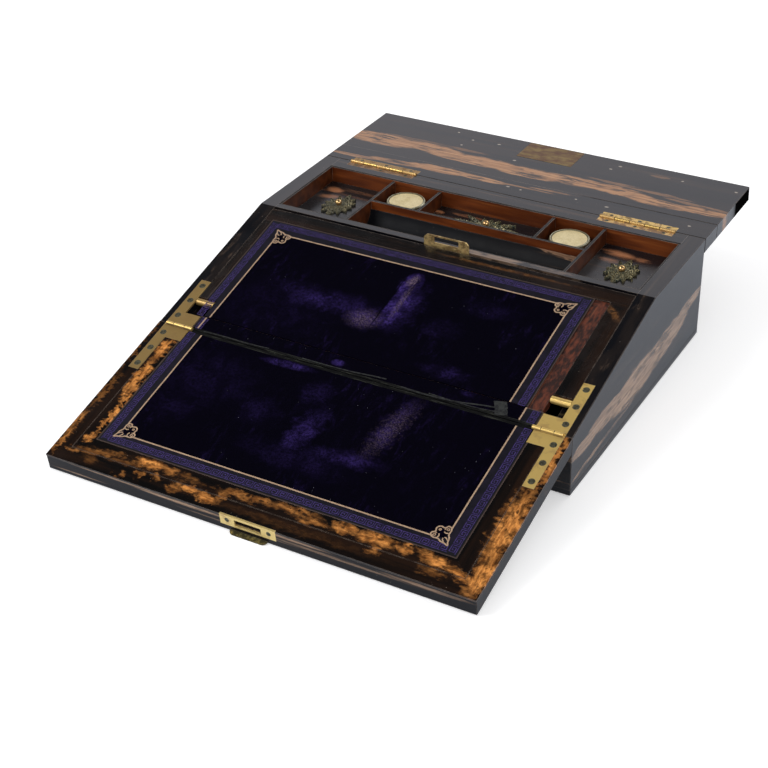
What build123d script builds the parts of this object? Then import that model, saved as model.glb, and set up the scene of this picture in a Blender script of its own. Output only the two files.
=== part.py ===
from build123d import *
import math
import os

os.makedirs("parts", exist_ok=True)

# Slope-front writing box, shown open: the flap folded down on the table in line with the
# slope, the top lid folded flat behind.  Millimetres, +Z up.  While it is modelled, y = 0 is
# the front face of the box; each piece is saved with the origin under the box's middle.

# ---- outer sizes -------------------------------------------------------------------------
BOX_WIDTH = 380.0
SLOPE_RUN = 160.0            # depth of the slope, measured level
TOP_DEPTH = 115.0            # depth of the level top that holds the pen tray
SLOPE_ANGLE = 14.0
LEAF_THICKNESS = 14.0        # the flap and the lid
SIDE_WALL = 15.5
BACK_WALL = 17.0
FRONT_WALL = 9.0
BOTTOM_THICKNESS = 6.0
BOTTOM_CHAMFER = 1.5
ARRIS = 0.5                  # softened outer edges
OVERCUT = 1.0                # how far a cut runs past the face it opens

# ---- hinge lines -------------------------------------------------------------------------
HINGE_GAP = 0.3              # between a leaf's edge and the box
FOLD_RISE = 0.3              # hinge axis above the faces that fold together
PANEL_GAP = 0.4              # each side of the writing panel
PANEL_FRONT_GAP = 0.7        # between the fold strip and the panel
LEAF_END_CLEARANCE = 0.4     # free ends of flap and lid, either side of the loop plate

# ---- writing surface ---------------------------------------------------------------------
VENEER = 1.2                 # border strips and the skins between them
SKIN_DROP = 0.15             # skins lie this far below the border strips
FOLD_STRIP_DEPTH = 16.8      # fixed strip behind the fold
FOLD_STRIP_THICKNESS = 8.0
EDGE_BORDER_END = 14.2       # outer border strip across the flap's free end
INNER_BORDER = 14.2
BORDER_GROOVE = 0.4
SKIN_EDGE = 0.3              # leather and velvet stop short of what is beside them
KEY_BORDER = 15.0            # tooled leather between border strip and velvet
GOLD_BAND_END = 12.0         # tooled leather across the flap's free end
CLOTH_WIDTH = 2.8            # black cloth each side of the fold
CLOTH_GAP = 0.4

# ---- writing panel -----------------------------------------------------------------------
PANEL_THICKNESS = 7.7
PANEL_DROP = 0.3             # panel face below the slope
PANEL_END_GAP = 2.6          # behind the panel, where the loop plate stands
PANEL_END_BORDER = 14.0
PANEL_LEFT_BORDER = 7.5
PANEL_RIGHT_BORDER = 16.0
PANEL_BARE_WIDTH = 13.5      # ground left bare where the leather has slipped
LEDGE_WIDTH = 8.0
LEDGE_HEIGHT = 8.0
LEDGE_GAP = 0.3
BARREL_ALONG = 34.0          # pivot, up the slope from the fold
BARREL_DEPTH = 3.1           # pivot axis below the slope
BARREL_RADIUS = 3.1
BARREL_LENGTH = 17.0
BARREL_TONGUE = 14.0
BARREL_TONGUE_THICKNESS = 1.2
TONGUE_INSET = 1.0
PIVOT_PIN_RADIUS = 1.2
PIVOT_PIN_BITE = 4.0         # into the side wall
PIN_END_GAP = 0.5
NOTCH_MARGIN = 0.5
RUNNING_CLEARANCE = 0.05

# ---- flap hinges -------------------------------------------------------------------------
PLATE_THICKNESS = 1.5
STRAP_WIDTH = 9.5
STRAP_LENGTH = 56.5
LEG_LENGTH = 15.8
LEG_WIDTH = 15.4
KNUCKLE_RADIUS = 1.8
KNUCKLE_LENGTH = 25.5
KNUCKLE_MIDDLE = 11.0
KNUCKLE_END = 1.5            # strap's outer edge to the end of the knuckles
KNUCKLE_CLEARANCE = 0.25
KNUCKLE_END_GAP = 0.3        # pocket past the knuckles
KNUCKLE_SPLIT = 0.1          # each side of the joint between two knuckles
HINGE_PIN_RADIUS = 0.8
HINGE_SCREW_FIRST = 11.2
HINGE_SCREW_LAST = 6.5       # last screw to the end of the strap
HINGE_SCREW_RADIUS = 2.9

# ---- butt hinges of the lid --------------------------------------------------------------
BUTT_LENGTH = 70.0
BUTT_WALL_GAP = 12.0         # from the inside of the side wall
BUTT_LEAF_WIDTH = 8.6
BUTT_LEAF_THICKNESS = 1.2
BUTT_KNUCKLE_RADIUS = 1.6
BUTT_KNUCKLES = 5
BUTT_PIN_RADIUS = 0.7
BUTT_SCREW_END = 8.5         # outer screws to the leaf's ends
BUTT_SCREW_INSET = 5.6
BUTT_SCREW_RADIUS = 1.7

# ---- lock, loop plate and lid plate ------------------------------------------------------
LOOP_WIDTH = 43.0
LOOP_THICKNESS = 1.2
LOOP_RISE = 9.6
LOOP_FOOT = 7.5
LOOP_CORNER = 5.0
LOOP_RECESS = 0.6            # between the loop plate and the recess in the lid
LOOP_SCREW_END = 5.0
LOOP_SCREW_DROP = 4.2
LOOP_SCREW_RADIUS = 1.9
FACE_PLATE_WIDTH = 49.5
FACE_PLATE_HEIGHT = 9.6
FACE_PLATE_THICKNESS = 1.5
FACE_SCREW_END = 6.25
FACE_SCREW_DEPTH = 4.4
FACE_SCREW_RADIUS = 2.05
BOLT_WIDTH = 22.0
BOLT_THICKNESS = 3.0
BOLT_DEPTH = 5.0             # bolt's middle, below the flap's inner face
BOLT_LENGTH = 17.0
BOLT_SETBACK = 2.5
BOLT_THROW = 7.5
BOLT_CLEARANCE = 0.25
SLOT_CLEARANCE = 0.8         # at the bolt's ends
SLOT_RISE = 1.3              # above and below the bolt
LOCK_CASE_WIDTH = 31.0
LOCK_CASE_LENGTH = 30.0
LOCK_CASE_THICKNESS = 7.0
ESCUTCHEON_WIDTH = 33.0
ESCUTCHEON_LENGTH = 24.0
ESCUTCHEON_THICKNESS = 1.2
ESCUTCHEON_CORNER = 4.0
TAB_REACH = 4.0              # end of the escutcheon that laps over the lid
TAB_FLOOR_GAP = 0.05
TAB_CLEARANCE = 0.5
TAB_END_GAP = 1.0
KEYHOLE_RADIUS = 1.9
KEYHOLE_SLOT = 1.6
KEYHOLE_DROP = 4.5
KEYHOLE_INSET = 13.0
SOCKET_END_GAP = 2.0
SOCKET_RISE = 1.8
SOCKET_LIFT = 0.8            # the bolt climbs as it comes through
LID_PLATE_WIDTH = 56.0
LID_PLATE_DEPTH = 33.0
LID_PLATE_INSET = 1.0
LID_PLATE_THICKNESS = 1.2
LID_PLATE_PROUD = 0.2
LID_STRIP = 29.6             # hinge-side strip of the lid

# ---- pen tray ----------------------------------------------------------------------------
RAIL_THICKNESS = 6.2
LINING = 1.8
LINING_DROP = 0.4
DIVIDER = 2.5
DIVIDER_DROP = 1.2
SHORT_DIVIDER = 57.0         # middle of the divider, from the box's middle
TRAY_DEPTH = 58.0
TRAY_FLOOR = 3.0
BEARER_WIDTH = 8.0
TROUGH_DROP = 9.0
TROUGH_SAG = 15.0
TROUGH_THICKNESS = 4.0
TROUGH_LIP = 0.8
CLEAT = 3.0
CLEAT_HEIGHT = 4.0
SMALL_LID_DROP = 15.0
SMALL_LID_THICKNESS = 4.0
SMALL_LID_GAP = 0.5
MOUNT_THICKNESS = 1.2
MOUNT_DISC = 6.8
MOUNT_END_REACH = 24.0       # leaves along the mount's long axis
MOUNT_END_HALF = 5.6
MOUNT_SIDE_REACH = 16.0      # leaves across it
MOUNT_SIDE_HALF = 4.8
MOUNT_SLANT_REACH = 19.5     # leaves between them
MOUNT_SLANT_HALF = 4.4
MOUNT_SLANT = 38.0           # degrees from the long axis
MOUNT_OVERLAP = 2.0          # how far a leaf runs into the middle disc
MOUNT_RIM = 1.5              # left round the hole in a leaf
BEAD_RADIUS = 3.6
BEAD_RISE = 1.2              # bead's middle above its cup
BEAD_CUP = 4.9
BEAD_CUP_HEIGHT = 1.4

# ---- ink bottles -------------------------------------------------------------------------
BOTTLE_WIDTH = 38.0
BOTTLE_SIDE_GAP = 4.0
BOTTLE_BACK_GAP = 2.3
BOTTLE_CORNER = 5.0
BOTTLE_SHOULDER = 22.0       # shoulder below the box top
BOTTLE_WALL = 5.0
BOTTLE_BEVEL = 2.5
NECK_WALL = 3.4
CAP_RADIUS = 17.8
CAP_WALL = 3.1
CAP_RIM = 1.6
CAP_DROP = 6.0
CAP_HEIGHT = 10.0
CAP_TOP = 2.6
CAP_CLEARANCE = 0.3
CAP_BEAD = 0.7
DISC_THICKNESS = 1.2
DISC_DROP = 0.5              # disc below the cap's rim
DISC_EDGE = 0.4

# ---- screws, as shares of the head's radius ------------------------------------------------
SCREW_HEAD = 0.45
SCREW_SHANK = 0.5
SCREW_LENGTH = 2.8
SCREW_SLOT = 0.22
SCREW_SLOT_DEPTH = 0.16

# ---- worked out --------------------------------------------------------------------------
SIN = math.sin(math.radians(SLOPE_ANGLE))
COS = math.cos(math.radians(SLOPE_ANGLE))
TAN = math.tan(math.radians(SLOPE_ANGLE))
HALF_TAN = math.tan(math.radians(SLOPE_ANGLE / 2))
HALF_WIDTH = BOX_WIDTH / 2
INNER_HALF = HALF_WIDTH - SIDE_WALL
BOX_DEPTH = SLOPE_RUN + TOP_DEPTH

FLAP_AXIS_Y = -HINGE_GAP / 2
FLAP_AXIS_ALONG = (FLAP_AXIS_Y + FOLD_RISE * SIN) / COS
CLOSED_END_Y = SLOPE_RUN - LOOP_THICKNESS - LEAF_END_CLEARANCE
FLAP_LENGTH = (CLOSED_END_Y + 2 * FOLD_RISE * SIN) / COS - 2 * FLAP_AXIS_ALONG
FRONT_HEIGHT = FLAP_LENGTH * SIN + LEAF_THICKNESS + TAB_REACH * SIN + TAB_FLOOR_GAP
TOP_HEIGHT = FRONT_HEIGHT + SLOPE_RUN * TAN
SLOPE = Plane(origin=(0, 0, FRONT_HEIGHT), x_dir=(1, 0, 0), z_dir=(0, -SIN, COS))

LID_AXIS_Y = BOX_DEPTH + HINGE_GAP / 2
LID_AXIS_Z = TOP_HEIGHT + FOLD_RISE
LID_END_Y = 2 * LID_AXIS_Y - SLOPE_RUN - LEAF_END_CLEARANCE

TRAY_FRONT = SLOPE_RUN + RAIL_THICKNESS + LINING
TRAY_BACK = BOX_DEPTH - BACK_WALL - LINING
TRAY_HALF = INNER_HALF - LINING
FLOOR_TOP = TOP_HEIGHT - TRAY_DEPTH
INK_FRONT = TRAY_BACK - BOTTLE_WIDTH - 2 * BOTTLE_BACK_GAP
TROUGH_BACK = INK_FRONT - DIVIDER
LONG_DIVIDER = SHORT_DIVIDER + DIVIDER + BOTTLE_WIDTH + 2 * BOTTLE_SIDE_GAP
LID_TOP = TOP_HEIGHT - SMALL_LID_DROP

PANEL_HALF = INNER_HALF - PANEL_GAP
PANEL_START = (FOLD_STRIP_DEPTH + PANEL_FRONT_GAP) / COS
PANEL_END_Y = SLOPE_RUN - PANEL_END_GAP
PANEL_UNDER = PANEL_DROP + PANEL_THICKNESS
VELVET_HALF = INNER_HALF - INNER_BORDER - KEY_BORDER
LEATHER_HALF = INNER_HALF - INNER_BORDER
STRAP_INNER = INNER_HALF
STRAP_OUTER = INNER_HALF + STRAP_WIDTH
KNUCKLE_OUTER = STRAP_OUTER - KNUCKLE_END
KNUCKLE_INNER = KNUCKLE_OUTER - KNUCKLE_LENGTH
HINGE_SCREW_PITCH = (STRAP_LENGTH - HINGE_SCREW_LAST - HINGE_SCREW_FIRST) / 2
BUTT_CENTRE = INNER_HALF - BUTT_WALL_GAP - BUTT_LENGTH / 2
BUTT_SCREW_PITCH = BUTT_LENGTH / 2 - BUTT_SCREW_END
SLOT_WIDTH = BOLT_WIDTH + 2 * SLOT_CLEARANCE
SLOT_HEIGHT = BOLT_THICKNESS + 2 * SLOT_RISE
NECK_RADIUS = CAP_RADIUS - CAP_WALL - CAP_CLEARANCE
NECK_BORE = NECK_RADIUS - NECK_WALL
DISC_RADIUS = CAP_RADIUS - CAP_RIM


# ---- shapes ------------------------------------------------------------------------------
def block(x, y, z):
    """A box between two values on each axis."""
    middle = Pos((x[0] + x[1]) / 2, (y[0] + y[1]) / 2, (z[0] + z[1]) / 2)
    return middle * Box(x[1] - x[0], y[1] - y[0], z[1] - z[0])


def slope_block(x, along, height):
    """A box laid in the slope: along runs up the slope, height stands off it."""
    return SLOPE.location * block(x, along, height)


def prism(x, outline):
    """A side outline of (y, z) points, carried across the box from x[0] to x[1]."""
    points = [(x[0], y, z) for y, z in outline]
    return extrude(make_face(Polyline(*points, close=True)), amount=x[1] - x[0], dir=(1, 0, 0))


def slope_point(along, height):
    """The (y, z) of a point given in the slope."""
    return along * COS - height * SIN, FRONT_HEIGHT + along * SIN + height * COS


def slope_prism(x, outline):
    """A prism whose side outline is given in the slope as (along, height)."""
    return prism(x, [slope_point(along, height) for along, height in outline])


def slope_plate(outline, height):
    """A flat plate in the slope, from (x, along) points, between two heights."""
    points = [(x, along, height[0]) for x, along in outline]
    plate = extrude(make_face(Polyline(*points, close=True)), amount=height[1] - height[0], dir=(0, 0, 1))
    return SLOPE.location * plate


def rod(radius, x, y, z):
    """A round bar across the box."""
    return Pos((x[0] + x[1]) / 2, y, z) * Rot(0, 90, 0) * Cylinder(radius, x[1] - x[0])


def both_sides(shape):
    """A piece and its mirror image across the box."""
    return [shape, mirror(shape, about=Plane.YZ)]


def along_at(y, height):
    """How far up the slope the upright plane at y is met, at a height off the slope."""
    return (y + height * SIN) / COS


def flap_end(height):
    """The flap's bevelled free end, along the slope."""
    return -FLAP_LENGTH + height * HALF_TAN


def screw_space(radius):
    """The countersunk hole that a screw fills."""
    head_depth = radius * SCREW_HEAD
    length = radius * SCREW_LENGTH
    shank = radius * SCREW_SHANK
    head = Pos(0, 0, -head_depth / 2) * Cone(shank, radius, head_depth)
    return head + Pos(0, 0, -length / 2) * Cylinder(shank, length)


def screw(radius):
    """A slotted countersunk screw with its head's face at z = 0, pointing down."""
    slot = Box(2 * radius + OVERCUT, radius * SCREW_SLOT, 2 * radius * SCREW_SLOT_DEPTH)
    return screw_space(radius) - slot


def save(name, *shapes):
    """Write one sub-part, with the origin moved under the middle of the box."""
    solids = [solid for shape in shapes for solid in shape.solids()]
    whole = Compound(children=[Pos(0, -BOX_DEPTH / 2, 0) * solid for solid in solids])
    export_step(whole, "parts/" + name + ".step")


# ---- flap hinges: one L plate on the box and one on the flap, each side ---------------------
def hinge_plate(direction):
    """One L-shaped plate, up the slope on the box (1) or down it on the flap (-1)."""
    strap = sorted([0.0, direction * STRAP_LENGTH])
    leg = sorted([0.0, direction * LEG_LENGTH])
    plate = slope_block((STRAP_INNER, STRAP_OUTER), strap, (-PLATE_THICKNESS, 0))
    return plate + slope_block((STRAP_INNER - LEG_WIDTH, STRAP_INNER), leg, (-PLATE_THICKNESS, 0))


def hinge_screws(direction):
    """Places of the three screws in the right-hand strap."""
    middle = (STRAP_INNER + STRAP_OUTER) / 2
    steps = [HINGE_SCREW_FIRST + index * HINGE_SCREW_PITCH for index in range(3)]
    return [SLOPE.location * Pos(middle, direction * step, 0) for step in steps]


FLAP_AXIS_Z = slope_point(FLAP_AXIS_ALONG, FOLD_RISE)[1]
knuckle_low = KNUCKLE_INNER + (KNUCKLE_LENGTH - KNUCKLE_MIDDLE) / 2
knuckle_high = knuckle_low + KNUCKLE_MIDDLE
box_knuckles = [(KNUCKLE_INNER, knuckle_low), (knuckle_high, KNUCKLE_OUTER)]


def flap_axis_rod(radius, x):
    """A bar on the flap's hinge axis."""
    return rod(radius, x, FLAP_AXIS_Y, FLAP_AXIS_Z)


knuckle_room = KNUCKLE_RADIUS + KNUCKLE_CLEARANCE
knuckle_ends = (KNUCKLE_INNER - KNUCKLE_END_GAP, KNUCKLE_OUTER + KNUCKLE_END_GAP)
knuckle_space = flap_axis_rod(knuckle_room, knuckle_ends)
middle_space = flap_axis_rod(knuckle_room, (knuckle_low - KNUCKLE_SPLIT, knuckle_high + KNUCKLE_SPLIT))

box_plate = hinge_plate(1) - block((0, HALF_WIDTH), (-SLOPE_RUN, 0), (0, 2 * TOP_HEIGHT))
for ends in box_knuckles:
    box_plate += flap_axis_rod(KNUCKLE_RADIUS, ends)
box_plate -= middle_space
box_plate -= flap_axis_rod(HINGE_PIN_RADIUS, (KNUCKLE_INNER, KNUCKLE_OUTER))

flap_plate = hinge_plate(-1) - block((0, HALF_WIDTH), (-HINGE_GAP, SLOPE_RUN), (0, 2 * TOP_HEIGHT))
for ends in box_knuckles:
    flap_plate -= flap_axis_rod(knuckle_room, (ends[0] - KNUCKLE_SPLIT, ends[1] + KNUCKLE_SPLIT))
flap_plate += flap_axis_rod(KNUCKLE_RADIUS, (knuckle_low + KNUCKLE_SPLIT, knuckle_high - KNUCKLE_SPLIT))
flap_plate -= flap_axis_rod(HINGE_PIN_RADIUS + RUNNING_CLEARANCE, (KNUCKLE_INNER, KNUCKLE_OUTER))

box_screw_places = hinge_screws(1)
flap_screw_places = hinge_screws(-1)
box_screws = [place * screw(HINGE_SCREW_RADIUS) for place in box_screw_places]
flap_screws = [place * screw(HINGE_SCREW_RADIUS) for place in flap_screw_places]
box_screw_holes = [place * screw_space(HINGE_SCREW_RADIUS) for place in box_screw_places]
flap_screw_holes = [place * screw_space(HINGE_SCREW_RADIUS) for place in flap_screw_places]
box_plate -= box_screw_holes
flap_plate -= flap_screw_holes
hinge_pin = flap_axis_rod(HINGE_PIN_RADIUS, (KNUCKLE_INNER, KNUCKLE_OUTER))

# Pockets that let the plates, their knuckles and screws into the wood.
box_hinge_cut = [hinge_plate(1), knuckle_space] + box_screw_holes
flap_hinge_cut = [hinge_plate(-1), knuckle_space] + flap_screw_holes
box_hinge_cuts = [piece for cut in box_hinge_cut for piece in both_sides(cut)]
flap_hinge_cuts = [piece for cut in flap_hinge_cut for piece in both_sides(cut)]

save("hinge_box_plates", *both_sides(box_plate))
save("hinge_flap_plates", *both_sides(flap_plate))
save("hinge_box_screws", *[piece for item in box_screws for piece in both_sides(item)])
save("hinge_flap_screws", *[piece for item in flap_screws for piece in both_sides(item)])


# ---- butt hinges: leaves let into the back wall and into the lid ---------------------------
BUTT_START = BUTT_CENTRE - BUTT_LENGTH / 2
knuckle_step = BUTT_LENGTH / BUTT_KNUCKLES


def butt_leaf(direction, first):
    """One leaf; direction is -1 on the wall and 1 on the lid, first its first knuckle."""
    edge = BOX_DEPTH if direction < 0 else BOX_DEPTH + HINGE_GAP
    across = sorted([edge, edge + direction * BUTT_LEAF_WIDTH])
    x = (BUTT_START, BUTT_START + BUTT_LENGTH)
    leaf = block(x, across, (TOP_HEIGHT - BUTT_LEAF_THICKNESS, TOP_HEIGHT))
    for index in range(BUTT_KNUCKLES):
        low = BUTT_START + index * knuckle_step
        high = low + knuckle_step
        if index % 2 == first:
            segment = (low + KNUCKLE_SPLIT, high - KNUCKLE_SPLIT)
            leaf += rod(BUTT_KNUCKLE_RADIUS, segment, LID_AXIS_Y, LID_AXIS_Z)
        else:
            leaf -= rod(BUTT_KNUCKLE_RADIUS + KNUCKLE_CLEARANCE, (low, high), LID_AXIS_Y, LID_AXIS_Z)
    return leaf


def butt_screw_places(direction):
    """Places of the three screws in one leaf."""
    y = BOX_DEPTH + direction * BUTT_SCREW_INSET
    return [Pos(BUTT_CENTRE + step * BUTT_SCREW_PITCH, y, TOP_HEIGHT) for step in (-1, 0, 1)]


butt_x = (BUTT_START, BUTT_START + BUTT_LENGTH)
butt_pin = rod(BUTT_PIN_RADIUS, butt_x, LID_AXIS_Y, LID_AXIS_Z)
butt_bore = rod(BUTT_PIN_RADIUS + RUNNING_CLEARANCE, butt_x, LID_AXIS_Y, LID_AXIS_Z)
butt_space = rod(
    BUTT_KNUCKLE_RADIUS + KNUCKLE_CLEARANCE,
    (BUTT_START - KNUCKLE_END_GAP, BUTT_START + BUTT_LENGTH + KNUCKLE_END_GAP),
    LID_AXIS_Y,
    LID_AXIS_Z,
)
butt_cuts = {}
butt_screws = {}
butt_leaves = {}
for side, direction, first, bore in (("box", -1, 0, butt_pin), ("lid", 1, 1, butt_bore)):
    places = butt_screw_places(direction)
    holes = [place * screw_space(BUTT_SCREW_RADIUS) for place in places]
    butt_leaves[side] = butt_leaf(direction, first) - bore - holes
    butt_screws[side] = [place * screw(BUTT_SCREW_RADIUS) for place in places]
    edge = BOX_DEPTH if direction < 0 else BOX_DEPTH + HINGE_GAP
    across = sorted([edge, edge + direction * BUTT_LEAF_WIDTH])
    pocket = block(butt_x, across, (TOP_HEIGHT - BUTT_LEAF_THICKNESS, TOP_HEIGHT + OVERCUT))
    cuts = [pocket, butt_space] + holes
    butt_cuts[side] = [piece for cut in cuts for piece in both_sides(cut)]
    save("butt_" + side + "_leaves", *both_sides(butt_leaves[side]))
    save("butt_" + side + "_screws", *[piece for item in butt_screws[side] for piece in both_sides(item)])


# ---- panel pivot --------------------------------------------------------------------------
BARREL_Y, BARREL_Z = slope_point(BARREL_ALONG, -BARREL_DEPTH)
barrel_x = (PANEL_HALF - BARREL_LENGTH, PANEL_HALF)
pivot_x = (PANEL_HALF - BARREL_LENGTH / 2, INNER_HALF + PIVOT_PIN_BITE)
pivot_pin = rod(PIVOT_PIN_RADIUS, pivot_x, BARREL_Y, BARREL_Z)
tongue_height = (-BARREL_DEPTH - BARREL_TONGUE_THICKNESS / 2, -BARREL_DEPTH + BARREL_TONGUE_THICKNESS / 2)
tongue_along = (BARREL_ALONG, BARREL_ALONG + BARREL_RADIUS + BARREL_TONGUE)
tongue = slope_block((barrel_x[0] + TONGUE_INSET, barrel_x[1] - TONGUE_INSET), tongue_along, tongue_height)
barrel = rod(BARREL_RADIUS, barrel_x, BARREL_Y, BARREL_Z) + tongue
barrel_bore_x = (pivot_x[0] - PIN_END_GAP, pivot_x[1])
barrel -= rod(PIVOT_PIN_RADIUS + RUNNING_CLEARANCE, barrel_bore_x, BARREL_Y, BARREL_Z)
save("panel_barrels", *both_sides(barrel))
save("hinge_pins", *both_sides(hinge_pin), *both_sides(butt_pin), *both_sides(pivot_pin))


# ---- loop plate on the tray rail -----------------------------------------------------------
bolt_rise = (CLOSED_END_Y + (2 * FOLD_RISE + BOLT_DEPTH) * SIN) * TAN + (2 * FOLD_RISE + BOLT_DEPTH) * COS
BOLT_Z = FRONT_HEIGHT + bolt_rise + (LOOP_THICKNESS / 2 + LEAF_END_CLEARANCE) * TAN


def loop_screw_places():
    """Places of the loop plate's two screws, pointing into the rail."""
    z = TOP_HEIGHT - LOOP_SCREW_DROP
    reach = LOOP_WIDTH / 2 - LOOP_SCREW_END
    return [Pos(x, SLOPE_RUN - LOOP_THICKNESS, z) * Rot(90, 0, 0) for x in (-reach, reach)]


loop_y = (SLOPE_RUN - LOOP_THICKNESS, SLOPE_RUN)
loop = block((-LOOP_WIDTH / 2, LOOP_WIDTH / 2), loop_y, (TOP_HEIGHT - LOOP_FOOT, TOP_HEIGHT + LOOP_RISE))
loop = fillet(loop.edges().filter_by(Axis.Y).group_by(Axis.Z)[-1], LOOP_CORNER)
hole_z = (BOLT_Z - SLOT_HEIGHT / 2, BOLT_Z + SLOT_HEIGHT / 2)
loop -= block((-SLOT_WIDTH / 2, SLOT_WIDTH / 2), (loop_y[0] - OVERCUT, loop_y[1] + OVERCUT), hole_z)
loop_holes = [place * screw_space(LOOP_SCREW_RADIUS) for place in loop_screw_places()]
loop -= loop_holes
save("loop_plate", loop)
save("loop_screws", *[place * screw(LOOP_SCREW_RADIUS) for place in loop_screw_places()])


# ---- box walls ----------------------------------------------------------------------------
def slope_z(y, height):
    """The z of a plane parallel to the slope, at a depth into the box."""
    return FRONT_HEIGHT + y * TAN + height / COS


def softened(shape, axis, group):
    """Ease the outermost arrises of a board's face."""
    face = shape.faces().sort_by(axis)[group]
    return chamfer(face.edges(), ARRIS)


side_outline = [
    (0, BOTTOM_THICKNESS),
    (BOX_DEPTH, BOTTOM_THICKNESS),
    (BOX_DEPTH, TOP_HEIGHT),
    (SLOPE_RUN, TOP_HEIGHT),
    (0, FRONT_HEIGHT),
]
right_wall = softened(prism((INNER_HALF, HALF_WIDTH), side_outline), Axis.X, -1)
right_wall = right_wall - box_hinge_cut - pivot_pin
left_wall = mirror(right_wall, about=Plane.YZ)
inner_x = (-INNER_HALF, INNER_HALF)

front_outline = [
    (0, BOTTOM_THICKNESS),
    (FRONT_WALL, BOTTOM_THICKNESS),
    (FRONT_WALL, slope_z(FRONT_WALL, -FOLD_STRIP_THICKNESS)),
    (0, slope_z(0, -FOLD_STRIP_THICKNESS)),
]
strip_outline = [
    (0, slope_z(0, -FOLD_STRIP_THICKNESS)),
    (FOLD_STRIP_DEPTH, slope_z(FOLD_STRIP_DEPTH, -FOLD_STRIP_THICKNESS)),
    (FOLD_STRIP_DEPTH, slope_z(FOLD_STRIP_DEPTH, -VENEER)),
    (0, slope_z(0, -VENEER)),
]
front_wall = prism(inner_x, front_outline)
fold_strip = prism(inner_x, strip_outline) - box_hinge_cuts
back_face = BOX_DEPTH - BACK_WALL
rail_back = SLOPE_RUN + RAIL_THICKNESS
back_wall = block(inner_x, (back_face, BOX_DEPTH), (BOTTOM_THICKNESS, TOP_HEIGHT)) - butt_cuts["box"]
rail = block(inner_x, (SLOPE_RUN, rail_back), (FLOOR_TOP - TRAY_FLOOR, TOP_HEIGHT)) - loop_holes
bottom = block((-HALF_WIDTH, HALF_WIDTH), (0, BOX_DEPTH), (0, BOTTOM_THICKNESS))
bottom = chamfer(bottom.faces().sort_by(Axis.Z)[0].edges(), BOTTOM_CHAMFER)
save("right_wall", right_wall)
save("left_wall", left_wall)
save("front_wall", front_wall)
save("fold_strip", fold_strip)
save("back_wall", back_wall)
save("tray_rail", rail)
save("bottom_board", bottom)

ledge_low = -PANEL_UNDER - LEDGE_GAP - LEDGE_HEIGHT
ledge_high = -PANEL_UNDER - LEDGE_GAP


def ledge(x, y):
    """A strip that carries the panel, its top parallel to the slope."""
    corners = [(y[0], ledge_low), (y[1], ledge_low), (y[1], ledge_high), (y[0], ledge_high)]
    return prism(x, [(depth, slope_z(depth, height)) for depth, height in corners])


side_ledge = ledge((INNER_HALF - LEDGE_WIDTH, INNER_HALF), (FOLD_STRIP_DEPTH, SLOPE_RUN))
ledge_end = INNER_HALF - LEDGE_WIDTH
rail_ledge = ledge((-ledge_end, ledge_end), (SLOPE_RUN - LEDGE_WIDTH, SLOPE_RUN))
save("panel_ledges", *both_sides(side_ledge), rail_ledge)


# ---- skins of the writing surface: leather round velvet, black cloth at the fold -------------
SKIN = (-VENEER, -SKIN_DROP)
cloth_end = CLOTH_GAP + CLOTH_WIDTH
strip_end = FOLD_STRIP_DEPTH / COS - SKIN_EDGE
leg_inner = STRAP_INNER - LEG_WIDTH
strip_leather = slope_block((VELVET_HALF, leg_inner - SKIN_EDGE), (cloth_end, strip_end), SKIN)
save("fold_leather", *both_sides(strip_leather))
save("fold_velvet", slope_block((-VELVET_HALF, VELVET_HALF), (cloth_end, strip_end), SKIN))
cloth_x = (-KNUCKLE_INNER + OVERCUT, KNUCKLE_INNER - OVERCUT)
save("fold_cloth", slope_block(cloth_x, (CLOTH_GAP, cloth_end), SKIN))
save("flap_cloth", slope_block(cloth_x, (-cloth_end, -CLOTH_GAP), SKIN))


# ---- lock in the flap's free end -----------------------------------------------------------
def end_slab(x, near, far, height):
    """A slab parallel to the flap's free end, from near to far behind it."""
    low, high = height
    outline = [
        (flap_end(high) + near, high),
        (flap_end(low) + near, low),
        (flap_end(low) + far, low),
        (flap_end(high) + far, high),
    ]
    return slope_prism(x, outline)


bolt_low = -BOLT_DEPTH - BOLT_THICKNESS / 2
bolt_high = -BOLT_DEPTH + BOLT_THICKNESS / 2
bolt_start = flap_end(-BOLT_DEPTH) + BOLT_SETBACK
bolt_x = (-BOLT_WIDTH / 2, BOLT_WIDTH / 2)
bolt = slope_block(bolt_x, (bolt_start, bolt_start + BOLT_LENGTH), (bolt_low, bolt_high))
channel = slope_block(
    (-BOLT_WIDTH / 2 - BOLT_CLEARANCE, BOLT_WIDTH / 2 + BOLT_CLEARANCE),
    (flap_end(0) - OVERCUT, bolt_start + BOLT_LENGTH + BOLT_CLEARANCE),
    (bolt_low - BOLT_CLEARANCE, bolt_high + BOLT_CLEARANCE),
)
slot_x = (-SLOT_WIDTH / 2, SLOT_WIDTH / 2)
slot_heights = (-BOLT_DEPTH - SLOT_HEIGHT / 2, -BOLT_DEPTH + SLOT_HEIGHT / 2)
face_x = (-FACE_PLATE_WIDTH / 2, FACE_PLATE_WIDTH / 2)
face_space = end_slab(face_x, 0, FACE_PLATE_THICKNESS, (-FACE_PLATE_HEIGHT, 0))
case_heights = (-BOLT_DEPTH - LOCK_CASE_THICKNESS / 2, -BOLT_DEPTH + LOCK_CASE_THICKNESS / 2)
case_x = (-LOCK_CASE_WIDTH / 2, LOCK_CASE_WIDTH / 2)
case_space = end_slab(case_x, FACE_PLATE_THICKNESS, FACE_PLATE_THICKNESS + LOCK_CASE_LENGTH, case_heights)


def face_screw_places():
    """Places of the face plate's two screws, pointing into the flap's end."""
    y, z = slope_point(flap_end(-FACE_SCREW_DEPTH), -FACE_SCREW_DEPTH)
    tilt = SLOPE_ANGLE / 2 + 90
    reach = FACE_PLATE_WIDTH / 2 - FACE_SCREW_END
    return [Pos(x, y, z) * Rot(tilt, 0, 0) for x in (-reach, reach)]


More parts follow.
